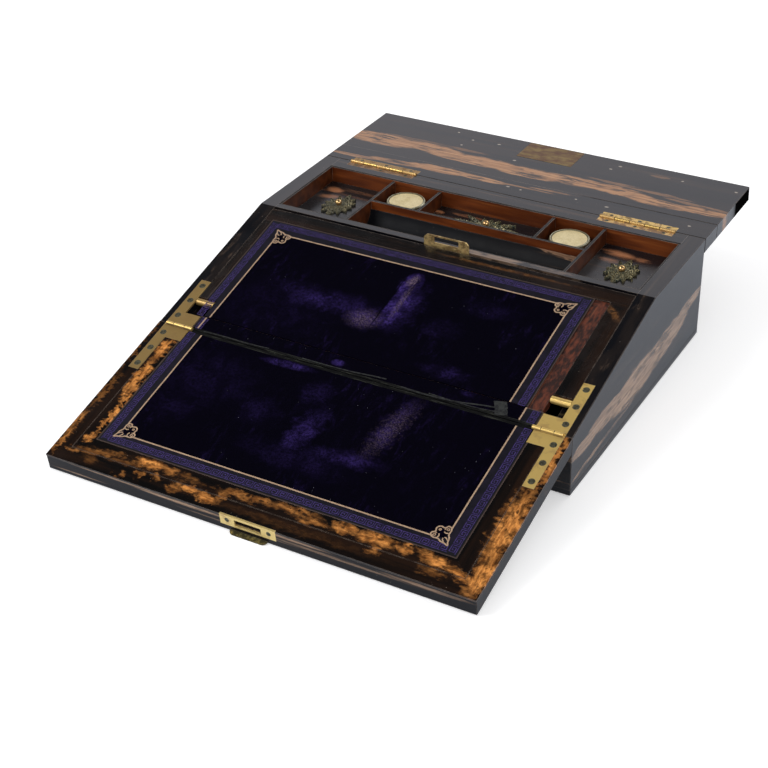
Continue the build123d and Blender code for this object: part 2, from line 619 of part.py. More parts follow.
face_holes = [place * screw_space(FACE_SCREW_RADIUS) for place in face_screw_places()]
face_slot = end_slab(slot_x, -OVERCUT, FACE_PLATE_THICKNESS + OVERCUT, slot_heights)
face_plate = face_space - face_slot - face_holes
save("lock_face_plate", face_plate)
save("lock_screws", *[place * screw(FACE_SCREW_RADIUS) for place in face_screw_places()])
save("lock_case", case_space - channel)
save("lock_bolt", bolt)

plate_end = flap_end(-LEAF_THICKNESS)
plate_x = (-ESCUTCHEON_WIDTH / 2, ESCUTCHEON_WIDTH / 2)
plate_along = (plate_end - TAB_REACH, plate_end + ESCUTCHEON_LENGTH)
plate_height = (-LEAF_THICKNESS, -LEAF_THICKNESS + ESCUTCHEON_THICKNESS)
escutcheon = block(plate_x, plate_along, plate_height)
escutcheon = SLOPE.location * fillet(escutcheon.edges().filter_by(Axis.Z), ESCUTCHEON_CORNER)
key_depth = (-LEAF_THICKNESS - OVERCUT, case_heights[0])
key_along = plate_end + KEYHOLE_INSET
key_round = Pos(0, key_along, (key_depth[0] + key_depth[1]) / 2) * Cylinder(
    KEYHOLE_RADIUS, key_depth[1] - key_depth[0]
)
key_slot = block((-KEYHOLE_SLOT / 2, KEYHOLE_SLOT / 2), (key_along, key_along + KEYHOLE_DROP), key_depth)
keyhole = SLOPE.location * (key_round + key_slot)
save("escutcheon", escutcheon - keyhole)


# ---- flap ---------------------------------------------------------------------------------
def flap_layer(x, height):
    """A full-length layer of the flap between two heights."""
    low, high = height
    outline = [
        (along_at(-HINGE_GAP, high), high),
        (flap_end(high), high),
        (flap_end(low), low),
        (along_at(-HINGE_GAP, low), low),
    ]
    return slope_prism(x, outline)


flap_x = (-HALF_WIDTH, HALF_WIDTH)
veneer_layer = flap_layer(flap_x, (-VENEER, 0))
flap_board = flap_layer(flap_x, (-LEAF_THICKNESS, -VENEER))
flap_board = softened(flap_board, Axis.X, -1)
flap_board = softened(flap_board, Axis.X, 0)
flap_board = flap_board - flap_hinge_cuts - [face_space, case_space, escutcheon, keyhole] - face_holes

groove_half = INNER_HALF
groove_along = -FLAP_LENGTH + EDGE_BORDER_END
inner_along = groove_along + INNER_BORDER
past = HALF_WIDTH + OVERCUT
past_along = -FLAP_LENGTH - OVERCUT * EDGE_BORDER_END / SIDE_WALL


def mitred_side(inner, outer):
    """Outline of a side strip between two corners, from the hinge to the free end."""
    return [(inner[0], OVERCUT), (outer[0], OVERCUT), outer, inner]


def mitred_end(inner, outer):
    """Outline of the strip across the free end, mitred to both side strips."""
    return [inner, outer, (-outer[0], outer[1]), (-inner[0], inner[1])]


strip_half = groove_half - BORDER_GROOVE
strip_along = groove_along + BORDER_GROOVE
edge_corners = ((groove_half, groove_along), (past, past_along))
inner_corners = ((LEATHER_HALF, inner_along), (strip_half, strip_along))
strip_heights = (-VENEER - OVERCUT, OVERCUT)
lock_cuts = [face_space] + face_holes


def flap_strips(side, end):
    """Two side strips and one across the free end, mitred, let round the fittings."""
    strips = both_sides(slope_plate(side, strip_heights)) + [slope_plate(end, strip_heights)]
    return [(strip & veneer_layer) - flap_hinge_cuts - lock_cuts for strip in strips]


save("flap_board", flap_board)
save("flap_edge_border", *flap_strips(mitred_side(*edge_corners), mitred_end(*edge_corners)))
save("flap_inner_border", *flap_strips(mitred_side(*inner_corners), mitred_end(*inner_corners)))
velvet_end = inner_along + GOLD_BAND_END
skin_x = (-LEATHER_HALF, LEATHER_HALF)
velvet_x = (-VELVET_HALF, VELVET_HALF)
flap_leather = slope_block(skin_x, (inner_along, -cloth_end), SKIN)
flap_leather = flap_leather - slope_block(velvet_x, (velvet_end, OVERCUT), strip_heights) - flap_hinge_cuts
save("flap_leather", flap_leather)
save("flap_velvet", slope_block(velvet_x, (velvet_end, -cloth_end), SKIN))


# ---- writing panel -------------------------------------------------------------------------
def panel_layer(x, height):
    """A layer of the panel between two heights, square to the slope below, upright at the top."""
    low, high = height
    outline = [
        (PANEL_START, high),
        (along_at(PANEL_END_Y, high), high),
        (along_at(PANEL_END_Y, low), low),
        (PANEL_START, low),
    ]
    return slope_prism(x, outline)


panel_x = (-PANEL_HALF, PANEL_HALF)
veneer_low = -PANEL_DROP - VENEER
notch_end = BARREL_ALONG + BARREL_RADIUS + NOTCH_MARGIN
notch = slope_block(
    (PANEL_HALF - BARREL_LENGTH - NOTCH_MARGIN, PANEL_HALF + OVERCUT),
    (0, notch_end),
    (-PANEL_UNDER - OVERCUT, OVERCUT),
)
notches = both_sides(notch) + both_sides(tongue)
panel_board = panel_layer(panel_x, (-PANEL_UNDER, veneer_low)) - notches
border_layer = panel_layer(panel_x, (veneer_low, -PANEL_DROP)) - notches
leather_left = -PANEL_HALF + PANEL_LEFT_BORDER
border_right = PANEL_HALF - PANEL_RIGHT_BORDER
leather_right = border_right - PANEL_BARE_WIDTH
leather_far = along_at(PANEL_END_Y, -PANEL_DROP) - PANEL_END_BORDER
window = slope_block((leather_left, border_right), (0, leather_far), (-PANEL_UNDER, OVERCUT))
panel_border = border_layer - window
skin_heights = (veneer_low, -PANEL_DROP + SKIN_DROP)
panel_skin = slope_block((leather_left, leather_right), (PANEL_START, leather_far), skin_heights) - notches
velvet_space = slope_block(
    (leather_left + KEY_BORDER, leather_right - KEY_BORDER),
    (0, leather_far - KEY_BORDER),
    (-PANEL_UNDER, OVERCUT),
)
save("panel_board", panel_board)
save("panel_border", panel_border)
save("panel_leather", panel_skin - velvet_space)
save("panel_velvet", panel_skin & velvet_space)


# ---- lid ----------------------------------------------------------------------------------
def lid_layer(x, y, z):
    """Part of the lid, with the bevelled free end when y reaches it."""
    (near, far), (low, high) = y, z
    bevel = HALF_TAN if far == LID_END_Y else 0.0
    outline = [
        (near, high),
        (far + (TOP_HEIGHT - high) * bevel, high),
        (far + (TOP_HEIGHT - low) * bevel, low),
        (near, low),
    ]
    return prism(x, outline)


def opened(shape):
    """Turn a shape given where the closed lid lies to where the open lid lies."""
    return shape.rotate(Axis((0, LID_AXIS_Y, LID_AXIS_Z), (1, 0, 0)), 180)


lid_z = (TOP_HEIGHT - LEAF_THICKNESS, TOP_HEIGHT)
strip_y = (BOX_DEPTH + HINGE_GAP, BOX_DEPTH + HINGE_GAP + LID_STRIP)
lid_strip = lid_layer(flap_x, strip_y, lid_z)
lid_board = lid_layer(flap_x, (strip_y[1], LID_END_Y), lid_z)
lid_board = softened(lid_board, Axis.X, -1)
lid_board = softened(lid_board, Axis.X, 0)
lid_strip = softened(lid_strip, Axis.X, -1)
lid_strip = softened(lid_strip, Axis.X, 0)
closed_edge = SLOPE_RUN + LEAF_END_CLEARANCE
closed_top = TOP_HEIGHT + 2 * FOLD_RISE + LEAF_THICKNESS
recess_half = LOOP_WIDTH / 2 + LOOP_RECESS
recess_z = (TOP_HEIGHT - OVERCUT, TOP_HEIGHT + LOOP_RISE + LOOP_RECESS)
recess_y = (closed_edge - LEAF_THICKNESS, closed_edge)
loop_recess = opened(block((-recess_half, recess_half), recess_y, recess_z))
socket_y = (closed_edge - LEAF_THICKNESS, closed_edge + BOLT_THROW - BOLT_SETBACK + SOCKET_END_GAP)
socket_rise = BOLT_THICKNESS / 2 + SOCKET_RISE
socket_z = (BOLT_Z + SOCKET_LIFT - socket_rise, BOLT_Z + SOCKET_LIFT + socket_rise)
socket = opened(block(slot_x, socket_y, socket_z))
tab_x = (-ESCUTCHEON_WIDTH / 2 - TAB_CLEARANCE, ESCUTCHEON_WIDTH / 2 + TAB_CLEARANCE)
tab_y = (closed_edge - LEAF_THICKNESS, closed_edge - LEAF_THICKNESS * HALF_TAN + TAB_REACH + TAB_END_GAP)
tab_z = (closed_top - ESCUTCHEON_THICKNESS - TAB_CLEARANCE, closed_top + OVERCUT)
tab_notch = opened(block(tab_x, tab_y, tab_z))
lid_plate_y = (LID_END_Y - LID_PLATE_INSET - LID_PLATE_DEPTH, LID_END_Y - LID_PLATE_INSET)
lid_plate_z = (TOP_HEIGHT - LID_PLATE_THICKNESS, TOP_HEIGHT + LID_PLATE_PROUD)
lid_plate = block((-LID_PLATE_WIDTH / 2, LID_PLATE_WIDTH / 2), lid_plate_y, lid_plate_z)
save("lid_board", lid_board - [loop_recess, socket, tab_notch, lid_plate])
save("lid_hinge_strip", lid_strip - butt_cuts["lid"])
save("lid_plate", lid_plate)


# ---- pen tray -------------------------------------------------------------------------------
wall_z = (FLOOR_TOP, TOP_HEIGHT - LINING_DROP)
divider_z = (FLOOR_TOP, TOP_HEIGHT - DIVIDER_DROP)
save("tray_floor", block(inner_x, (rail_back, back_face), (FLOOR_TOP - TRAY_FLOOR, FLOOR_TOP)))
bearer_z = (BOTTOM_THICKNESS, FLOOR_TOP - TRAY_FLOOR)
bearer = block((INNER_HALF - BEARER_WIDTH, INNER_HALF), (SLOPE_RUN, back_face), bearer_z)
save("tray_bearers", *both_sides(bearer))
lining_front = block(inner_x, (TRAY_FRONT - LINING, TRAY_FRONT), wall_z)
lining_back = block(inner_x, (TRAY_BACK, back_face), wall_z)
lining_side = block((TRAY_HALF, INNER_HALF), (TRAY_FRONT, TRAY_BACK), wall_z)
save("tray_lining", lining_front, lining_back, *both_sides(lining_side))

long_x = (LONG_DIVIDER - DIVIDER / 2, LONG_DIVIDER + DIVIDER / 2)
short_x = (SHORT_DIVIDER - DIVIDER / 2, SHORT_DIVIDER + DIVIDER / 2)
long_divider = block(long_x, (TRAY_FRONT, TRAY_BACK), divider_z)
short_divider = block(short_x, (INK_FRONT, TRAY_BACK), divider_z)
trough_divider = block((-long_x[0], long_x[0]), (TROUGH_BACK, INK_FRONT), divider_z)
save("tray_dividers", *both_sides(long_divider), *both_sides(short_divider), trough_divider)

trough_top = TOP_HEIGHT - TROUGH_DROP
chord = (TROUGH_BACK - TRAY_FRONT) / 2 - TROUGH_LIP
trough_radius = (chord ** 2 + TROUGH_SAG ** 2) / (2 * TROUGH_SAG)
trough_low = trough_top - TROUGH_SAG - TROUGH_THICKNESS
trough_middle = (TRAY_FRONT + TROUGH_BACK) / 2
trough_x = (-long_x[0], long_x[0])
trough = block(trough_x, (TRAY_FRONT, TROUGH_BACK), (trough_low, trough_top))
trough -= rod(trough_radius, trough_x, trough_middle, trough_top - TROUGH_SAG + trough_radius)
save("pen_trough", trough)

# Three small lids over sunk compartments, each on a cleat at its front and at its back.
compartments = {
    "left": ((-TRAY_HALF, -long_x[1]), (TRAY_FRONT, TRAY_BACK), 90),
    "centre": ((-short_x[0], short_x[0]), (INK_FRONT, TRAY_BACK), 0),
    "right": ((long_x[1], TRAY_HALF), (TRAY_FRONT, TRAY_BACK), -90),
}
cleat_z = (LID_TOP - SMALL_LID_THICKNESS - CLEAT_HEIGHT, LID_TOP - SMALL_LID_THICKNESS)
cleats = []


def mount_leaf(turn, reach, half_width):
    """One pierced leaf, from the middle disc out to its reach."""
    half_length = (reach - MOUNT_DISC + MOUNT_OVERLAP) / 2
    leaf = Ellipse(half_length, half_width) - Ellipse(half_length - MOUNT_RIM, half_width - MOUNT_RIM)
    return Rot(0, 0, turn) * Pos(reach - half_length, 0, 0) * extrude(leaf, MOUNT_THICKNESS)


def open_mount(turn):
    """A pierced leaf mount with a bead in a cup at its middle."""
    mount = Pos(0, 0, MOUNT_THICKNESS / 2) * Cylinder(MOUNT_DISC, MOUNT_THICKNESS)
    for half_turn in (0, 180):
        mount += mount_leaf(half_turn, MOUNT_END_REACH, MOUNT_END_HALF)
        mount += mount_leaf(half_turn + 90, MOUNT_SIDE_REACH, MOUNT_SIDE_HALF)
        for slant in (MOUNT_SLANT, -MOUNT_SLANT):
            mount += mount_leaf(half_turn + slant, MOUNT_SLANT_REACH, MOUNT_SLANT_HALF)
    cup_top = MOUNT_THICKNESS + BEAD_CUP_HEIGHT
    mount += Pos(0, 0, cup_top / 2) * Cylinder(BEAD_CUP, cup_top)
    bead = Pos(0, 0, cup_top + BEAD_RISE) * Sphere(BEAD_RADIUS)
    mount += bead - Pos(0, 0, cup_top / 2) * Cylinder(BEAD_CUP, cup_top)
    return Rot(0, 0, turn) * mount


for name, (x, y, turn) in compartments.items():
    lid_x = (x[0] + SMALL_LID_GAP, x[1] - SMALL_LID_GAP)
    lid_y = (y[0] + SMALL_LID_GAP, y[1] - SMALL_LID_GAP)
    save("small_lid_" + name, block(lid_x, lid_y, (LID_TOP - SMALL_LID_THICKNESS, LID_TOP)))
    cleats.append(block(x, (y[0], y[0] + CLEAT), cleat_z))
    cleats.append(block(x, (y[1] - CLEAT, y[1]), cleat_z))
    middle = Pos((x[0] + x[1]) / 2, (y[0] + y[1]) / 2, LID_TOP)
    save("lid_mount_" + name, middle * open_mount(turn))
save("lid_cleats", *cleats)


# ---- ink bottles and their caps --------------------------------------------------------------
ink_middle_x = (short_x[1] + long_x[0]) / 2
ink_middle_y = (INK_FRONT + TRAY_BACK) / 2
shoulder = TOP_HEIGHT - BOTTLE_SHOULDER
cap_top = TOP_HEIGHT - CAP_DROP
cap_low = cap_top - CAP_HEIGHT
neck_top = cap_top - CAP_TOP - CAP_CLEARANCE


def upright(radius, z):
    """A round bar standing at the right-hand bottle's middle."""
    return Pos(ink_middle_x, ink_middle_y, (z[0] + z[1]) / 2) * Cylinder(radius, z[1] - z[0])


half = BOTTLE_WIDTH / 2
body = block(
    (ink_middle_x - half, ink_middle_x + half),
    (ink_middle_y - half, ink_middle_y + half),
    (FLOOR_TOP, shoulder),
)
body = fillet(body.edges().filter_by(Axis.Z), BOTTLE_CORNER)
body = chamfer(body.faces().sort_by(Axis.Z)[-1].edges(), BOTTLE_BEVEL)
bottle = body + upright(NECK_RADIUS, (shoulder - OVERCUT, neck_top))
bottle -= upright(half - BOTTLE_WALL, (FLOOR_TOP + BOTTLE_WALL, shoulder - BOTTLE_WALL))
bottle -= upright(NECK_BORE, (shoulder - BOTTLE_WALL - OVERCUT, neck_top))
cap = chamfer(upright(CAP_RADIUS, (cap_low, cap_top)).edges().group_by(Axis.Z)[-1], CAP_BEAD)
cap -= upright(NECK_RADIUS + CAP_CLEARANCE, (cap_low, cap_top - CAP_TOP))
disc_low = cap_top - DISC_DROP - DISC_THICKNESS
cap -= upright(DISC_RADIUS, (disc_low, cap_top))
disc = upright(DISC_RADIUS, (disc_low, cap_top - DISC_DROP))
disc = chamfer(disc.edges().group_by(Axis.Z)[-1], DISC_EDGE)
for name, piece in (("ink_bottle", bottle), ("ink_cap", cap), ("ink_disc", disc)):
    right, left = both_sides(piece)
    save(name + "_right", right)
    save(name + "_left", left)
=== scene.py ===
"""Writing slope in coromandel wood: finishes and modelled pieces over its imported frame."""
import logging
import math
from dataclasses import dataclass, field
from enum import Enum
from functools import reduce
from typing import Any, Callable, Iterable, Optional, Sequence, Union

import bmesh
import bpy
from mathutils import Matrix, Vector, noise


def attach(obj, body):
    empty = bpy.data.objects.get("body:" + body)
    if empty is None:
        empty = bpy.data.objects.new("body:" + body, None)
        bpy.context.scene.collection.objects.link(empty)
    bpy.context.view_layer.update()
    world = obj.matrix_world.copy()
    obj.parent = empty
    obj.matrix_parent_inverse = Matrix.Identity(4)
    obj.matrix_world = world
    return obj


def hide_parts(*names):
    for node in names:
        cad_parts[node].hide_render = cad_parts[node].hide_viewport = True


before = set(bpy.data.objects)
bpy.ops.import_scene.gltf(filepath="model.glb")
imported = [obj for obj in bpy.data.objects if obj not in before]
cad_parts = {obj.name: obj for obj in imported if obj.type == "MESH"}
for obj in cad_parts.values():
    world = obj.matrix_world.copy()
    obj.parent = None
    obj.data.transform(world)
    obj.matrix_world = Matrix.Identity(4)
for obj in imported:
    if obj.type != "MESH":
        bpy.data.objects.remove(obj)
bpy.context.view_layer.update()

LOG = logging.getLogger("writing_slope")
NODES: dict[str, bpy.types.Object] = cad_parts
MM = 0.001
SLOPE_ANGLE = math.radians(14.0)
FOLD_LINE = Vector((0.0, -137.5, 54.586))

Socket = bpy.types.NodeSocket
Feed = Union[float, Sequence[float], Socket]
Point = tuple[float, float]
Triple = tuple[float, float, float]
Colour = Triple
Box = tuple[float, float, float, float]


# ---- shader graphs -----------------------------------------------------------------------
class Graph:
    """A node tree with short calls for the nodes that the finishes use.

    Attributes:
        tree: The node tree that the calls add to.
    """

    def __init__(self, tree: bpy.types.NodeTree) -> None:
        """Hold the tree of a material, a world or a group."""
        self.tree = tree

    def add(self, kind: str, feeds: Optional[dict[Any, Feed]] = None, **settings: Any) -> bpy.types.Node:
        """Add a node.

        Args:
            kind: The node's Blender type.
            feeds: What goes into its inputs, by name or number.
            settings: Properties of the node.

        Returns:
            The new node.
        """
        node = self.tree.nodes.new(kind)
        for name, value in settings.items():
            setattr(node, name, value)
        self.feed(node, feeds or {})
        return node

    def feed(self, node: bpy.types.Node, feeds: dict[Any, Feed]) -> None:
        """Link or set a node's inputs.

        Args:
            node: The node that takes them.
            feeds: A socket is linked, and anything else is set.
        """
        for name, value in feeds.items():
            if isinstance(value, bpy.types.NodeSocket):
                self.tree.links.new(value, node.inputs[name])
            else:
                node.inputs[name].default_value = value

    def math(self, operation: str, *values: Feed) -> Socket:
        """The value of one Math node, with its inputs in order."""
        return self.add("ShaderNodeMath", dict(enumerate(values)), operation=operation).outputs[0]

    def times(self, *values: Feed) -> Feed:
        """The product of the values."""
        return reduce(lambda done, value: self.math("MULTIPLY", done, value), values)

    def most(self, *values: Feed) -> Feed:
        """The greatest of the values."""
        return reduce(lambda done, value: self.math("MAXIMUM", done, value), values)

    def less(self, value: Feed, taken: Feed) -> Socket:
        """A value with another taken off it."""
        return self.math("SUBTRACT", value, taken)

    def apart(self, first: Feed, second: Feed) -> Socket:
        """How far two values lie apart."""
        return self.math("ABSOLUTE", self.less(first, second))

    def vector(self, operation: str, *values: Feed) -> Socket:
        """The vector of one Vector Math node, or its value for a length or a dot product."""
        node = self.add("ShaderNodeVectorMath", dict(enumerate(values)), operation=operation)
        return node.outputs["Value" if operation in ("LENGTH", "DOT_PRODUCT") else "Vector"]

    def scaled(self, at: Feed, by: Feed) -> Socket:
        """A place, or a colour, multiplied along each axis."""
        return self.vector("MULTIPLY", at, by)

    def parts(self, at: Socket) -> Sequence[Socket]:
        """The three parts of a place."""
        return self.add("ShaderNodeSeparateXYZ", {0: at}).outputs

    def joined(self, *parts: Feed) -> Socket:
        """A place from its parts."""
        return self.add("ShaderNodeCombineXYZ", dict(enumerate(parts))).outputs[0]

    def ramp(self, value: Feed, low: float, high: float, start: float = 0.0, end: float = 1.0) -> Socket:
        """A smooth step of a value: start where it is low, and end where it is high."""
        feeds = {0: value, 1: low, 2: high, 3: start, 4: end}
        return self.add("ShaderNodeMapRange", feeds, interpolation_type="SMOOTHSTEP").outputs[0]

    def mix(self, share: Feed, first: Feed, second: Feed) -> Socket:
        """Two colours or vectors mixed, where the share is how much of the second shows."""
        node = self.add("ShaderNodeMix", {0: share, 6: opaque(first), 7: opaque(second)}, data_type="RGBA")
        return node.outputs[2]

    def noise(self, at: Socket, scale: float = 1.0, detail: float = 3.0, rough: float = 0.55,
              twist: float = 0.0, drawn: Optional[Feed] = None, colour: bool = False) -> Socket:
        """Cloudy noise.

        Args:
            at: The place it is read at.
            scale: Features for each unit of the place.
            detail: Octaves.
            rough: How strong the finer octaves are.
            twist: Distortion.
            drawn: Features for each unit along each axis, where they differ.
            colour: Whether three channels are wanted.

        Returns:
            The noise value, or its colour.
        """
        place = at if drawn is None else self.scaled(at, drawn)
        feeds = {"Vector": place, "Scale": scale, "Detail": detail, "Roughness": rough, "Distortion": twist}
        return self.add("ShaderNodeTexNoise", feeds).outputs["Color" if colour else "Fac"]

    def spots(self, at: Socket, scale: Feed, size: Feed, soft: float = 0.4) -> Socket:
        """A mask of round spots, scale to a unit, whose size and soft rim are shares of spacing and size."""
        cells = self.add("ShaderNodeTexVoronoi", {"Vector": at, "Scale": scale})
        return self.ramp(cells.outputs["Distance"], self.times(size, 1.0 - soft), size, 1.0, 0.0)

    def effect(self, name: "Effect", **feeds: Feed) -> bpy.types.Node:
        """Place a shared effect.

        Args:
            name: Which effect.
            feeds: Its inputs, with underscores for spaces.

        Returns:
            The group node.
        """
        node = self.add("ShaderNodeGroup", node_tree=name.tree())
        self.feed(node, {key.replace("_", " "): value for key, value in feeds.items()})
        return node

    def facing(self) -> Sequence[Socket]:
        """How far each face looks right, back and up."""
        return self.parts(self.add("ShaderNodeNewGeometry").outputs["True Normal"])


def opaque(colour: Feed) -> Feed:
    """A colour with its alpha, where it is written with three numbers.

    Args:
        colour: A colour, a number or a socket.

    Returns:
        The colour with four numbers, or what was given.
    """
    if isinstance(colour, bpy.types.NodeSocket) or not hasattr(colour, "__len__") or len(colour) == 4:
        return colour
    return (*colour, 1.0)


def bump(graph: Graph, height: Socket, depth: float, strength: float = 1.0) -> Socket:
    """A bumped normal, from a height of 0 to 1 and the depth in metres that a height of 1 stands for."""
    return graph.add("ShaderNodeBump", {"Strength": strength, "Distance": depth, "Height": height}).outputs[0]


# ---- shared effects ----------------------------------------------------------------------
HALF_GREY = (0.5, 0.5, 0.5)
SWIRL_SCALE, SWIRL_REACH = 0.13, (7.0, 4.0, 4.0)
SCRATCHES = (0.06, 3.0, 3.0)


def wire_patch(graph: Graph, given: Any) -> dict[str, Socket]:
    """A ragged oval patch: long and thin for a streak, and turned about the surface's normal.

    Args:
        graph: The group's graph.
        given: The group's inputs by name.

    Returns:
        The group's outputs by name.
    """
    at = given["Vector"]
    cloud = graph.noise(at, detail=4.0, rough=0.62, drawn=given["Stretch"], colour=True)
    push = graph.scaled(graph.vector("SUBTRACT", cloud, HALF_GREY), given["Ragged"])
    place = graph.vector("SUBTRACT", graph.vector("ADD", at, push), given["Centre"])
    turned = graph.add("ShaderNodeVectorRotate", {"Vector": place, "Angle": given["Turn"]},
                       rotation_type="Z_AXIS")
    share = graph.vector("DIVIDE", turned.outputs[0], given["Reach"])
    inside = graph.ramp(graph.vector("LENGTH", share), given["Core"], 1.12, 1.0, 0.0)
    return {"Mask": graph.times(inside, given["Strength"])}


def wire_wood(graph: Graph, given: Any) -> dict[str, Socket]:
    """Dark striped wood with light streaks, broken by dark flecks that follow the grain.

    Args:
        graph: The group's graph.
        given: The group's inputs by name.

    Returns:
        The group's outputs by name.
    """
    at = given["Vector"]
    fine = graph.noise(at, detail=6.0, rough=0.62, drawn=given["Grain"])
    broad = graph.noise(at, detail=3.0, rough=0.5, twist=0.3, drawn=given["Stripe"])
    fleck = graph.noise(at, detail=3.0, rough=0.55, twist=0.6, drawn=given["Fleck"])
    dark = graph.mix(graph.ramp(broad, 0.38, 0.68), given["Dark"], given["Brown"])
    dark = graph.mix(graph.ramp(fine, 0.5, 0.75, 0.0, 0.5), dark, given["Brown"])
    light = graph.mix(graph.ramp(fine, 0.3, 0.7), given["Light"], given["Pale"])
    calm = graph.ramp(graph.noise(at, 0.035, 3.0, 0.5), 0.38, 0.6, 0.25, 1.0)
    broken = graph.times(graph.ramp(fleck, 0.45, 0.63), calm, given["Flecks"])
    swirl = graph.scaled(graph.noise(at, SWIRL_SCALE, 2.0, colour=True), SWIRL_REACH)
    swirled = graph.scaled(graph.vector("ADD", at, swirl), (0.75, 1.0, 1.0))
    dots = graph.most(graph.spots(swirled, 0.17, 0.32, 0.45), graph.spots(swirled, 0.4, 0.28, 0.7))
    dots = graph.times(dots, graph.ramp(broad, 0.3, 0.6, 1.0, 0.45), given["Spots"])
    light = graph.mix(graph.most(broken, dots), light, given["Dark"])
    return {"Color": graph.mix(given["Streaks"], dark, light), "Height": fine}


def wire_worn_lit_edge(graph: Graph, given: Any) -> dict[str, Socket]:
    """Finds outer edges, where hands and cloths have rubbed the finish; the same mask paints the highlights
    that rounded edges catch.

    Args:
        graph: The group's graph.
        given: The group's inputs by name.

    Returns:
        The group's outputs by name.
    """
    round_normal = graph.add("ShaderNodeBevel", {"Radius": given["Radius"]}, samples=4).outputs[0]
    flat_normal = graph.add("ShaderNodeNewGeometry").outputs["True Normal"]
    bend = graph.less(1.0, graph.vector("DOT_PRODUCT", round_normal, flat_normal))
    rubbed = graph.noise(given["Vector"], 0.12, 3.0, 0.6)
    return {"Mask": graph.times(graph.ramp(bend, 0.01, 0.12), graph.ramp(rubbed, 0.3, 0.62, 0.25, 1.0))}


def wire_dust(graph: Graph, given: Any) -> dict[str, Socket]:
    """Sparse light specks of dust and lint in uneven drifts.

    Args:
        graph: The group's graph.
        given: The group's inputs by name.

    Returns:
        The group's outputs by name.
    """
    near = graph.spots(given["Vector"], given["Spacing"], given["Size"])
    drift = graph.ramp(graph.noise(given["Vector"], 0.021, 2.0), 0.46, 0.62)
    return {"Mask": graph.times(near, drift)}


def wire_handling(graph: Graph, given: Any) -> dict[str, Socket]:
    """Uneven gloss from handling and old polish, with fine scratches.

    Args:
        graph: The group's graph.
        given: The group's inputs by name.

    Returns:
        The group's outputs by name.
    """
    cloud = graph.noise(given["Vector"], 0.03, 4.0, 0.6)
    scratch = graph.noise(given["Vector"], detail=2.0, drawn=SCRATCHES)
    value = graph.math("ADD", cloud, graph.ramp(scratch, 0.62, 0.75, 0.0, 0.35))
    return {"Roughness": graph.ramp(value, 0.3, 0.9, given["Smooth"], given["Dull"])}


VECTOR, NUMBER, COLOUR = "NodeSocketVector", "NodeSocketFloat", "NodeSocketColor"


class Effect(Enum):
    """An effect that several finishes share: its title, wiring, and inputs and outputs by kind."""

    PATCH = ("Ragged patch", wire_patch,
             {VECTOR: "Vector Centre Reach Ragged Stretch", NUMBER: "Turn Strength Core"}, {NUMBER: "Mask"})
    WOOD = ("Streaked wood", wire_wood,
            {VECTOR: "Vector Grain Stripe Fleck", COLOUR: "Dark Brown Light Pale",
             NUMBER: "Flecks Spots Streaks"}, {COLOUR: "Color", NUMBER: "Height"})
    WORN_LIT_EDGE = ("Worn and lit edge", wire_worn_lit_edge, {VECTOR: "Vector", NUMBER: "Radius"}, {NUMBER: "Mask"})
    DUST = ("Dust", wire_dust, {VECTOR: "Vector", NUMBER: "Spacing Size"}, {NUMBER: "Mask"})
    HANDLING = ("Handling", wire_handling, {VECTOR: "Vector", NUMBER: "Smooth Dull"}, {NUMBER: "Roughness"})

    def tree(self) -> bpy.types.NodeTree:
        """The effect's node group, built the first time it is asked for.

        Returns:
            The group.
        """
        title, wire, takes, gives = self.value
        found = bpy.data.node_groups.get(title)
        if found:
            return found
        tree = bpy.data.node_groups.new(title, "ShaderNodeTree")
        for way, sockets in (("INPUT", takes), ("OUTPUT", gives)):
            for kind, names in sockets.items():
                for name in names.split():
                    tree.interface.new_socket(name=name, in_out=way, socket_type=kind)
        given, out = tree.nodes.new("NodeGroupInput"), tree.nodes.new("NodeGroupOutput")
        for name, socket in wire(Graph(tree), given.outputs).items():
            tree.links.new(socket, out.inputs[name])
        return tree


# ---- how a pattern lies ------------------------------------------------------------------
TO_MM = (1000.0, 1000.0, 1000.0)
ENDLESS = 1.0e6


class Lay(Enum):
    """The plane that a pattern is laid out in, in millimetres: along the grain, across it, and depth."""

    LEVEL = "x, y, z"
    UPRIGHT = "x, z, y"
    SIDE = "y, z, x"
    SLOPE = "along the slope"
    SLOPE_END = "along the slope's end, its thickness up"
    FRAMED = "along each strip of a mitred frame on the slope"

    def place(self, graph: Graph, mitre: Point = (0.0, 0.0)) -> Socket:
        """The place on the pattern.

        Args:
            graph: The material's graph.
            mitre: For FRAMED, the frame's half width and the place of its end up the slope.

        Returns:
            A vector socket in millimetres.
        """
        at = graph.scaled(graph.add("ShaderNodeTexCoord").outputs["Object"], TO_MM)
        if self is Lay.LEVEL:
            return at
        if self in (Lay.UPRIGHT, Lay.SIDE):
            x, y, z = graph.parts(at)
            return graph.joined(x, z, y) if self is Lay.UPRIGHT else graph.joined(y, z, x)
        moved = graph.vector("SUBTRACT", at, tuple(FOLD_LINE))
        slope = graph.add("ShaderNodeVectorRotate", {"Vector": moved, "Angle": -SLOPE_ANGLE},
                          rotation_type="X_AXIS").outputs[0]
        if self is Lay.SLOPE:
            return slope
        across, up, height = graph.parts(slope)
        if self is Lay.SLOPE_END:
            return graph.joined(across, height, up)
        side = graph.less(mitre[0], graph.math("ABSOLUTE", across))
        end = graph.apart(up, mitre[1])
        return graph.mix(graph.math("LESS_THAN", side, end), slope, graph.joined(up, across, height))


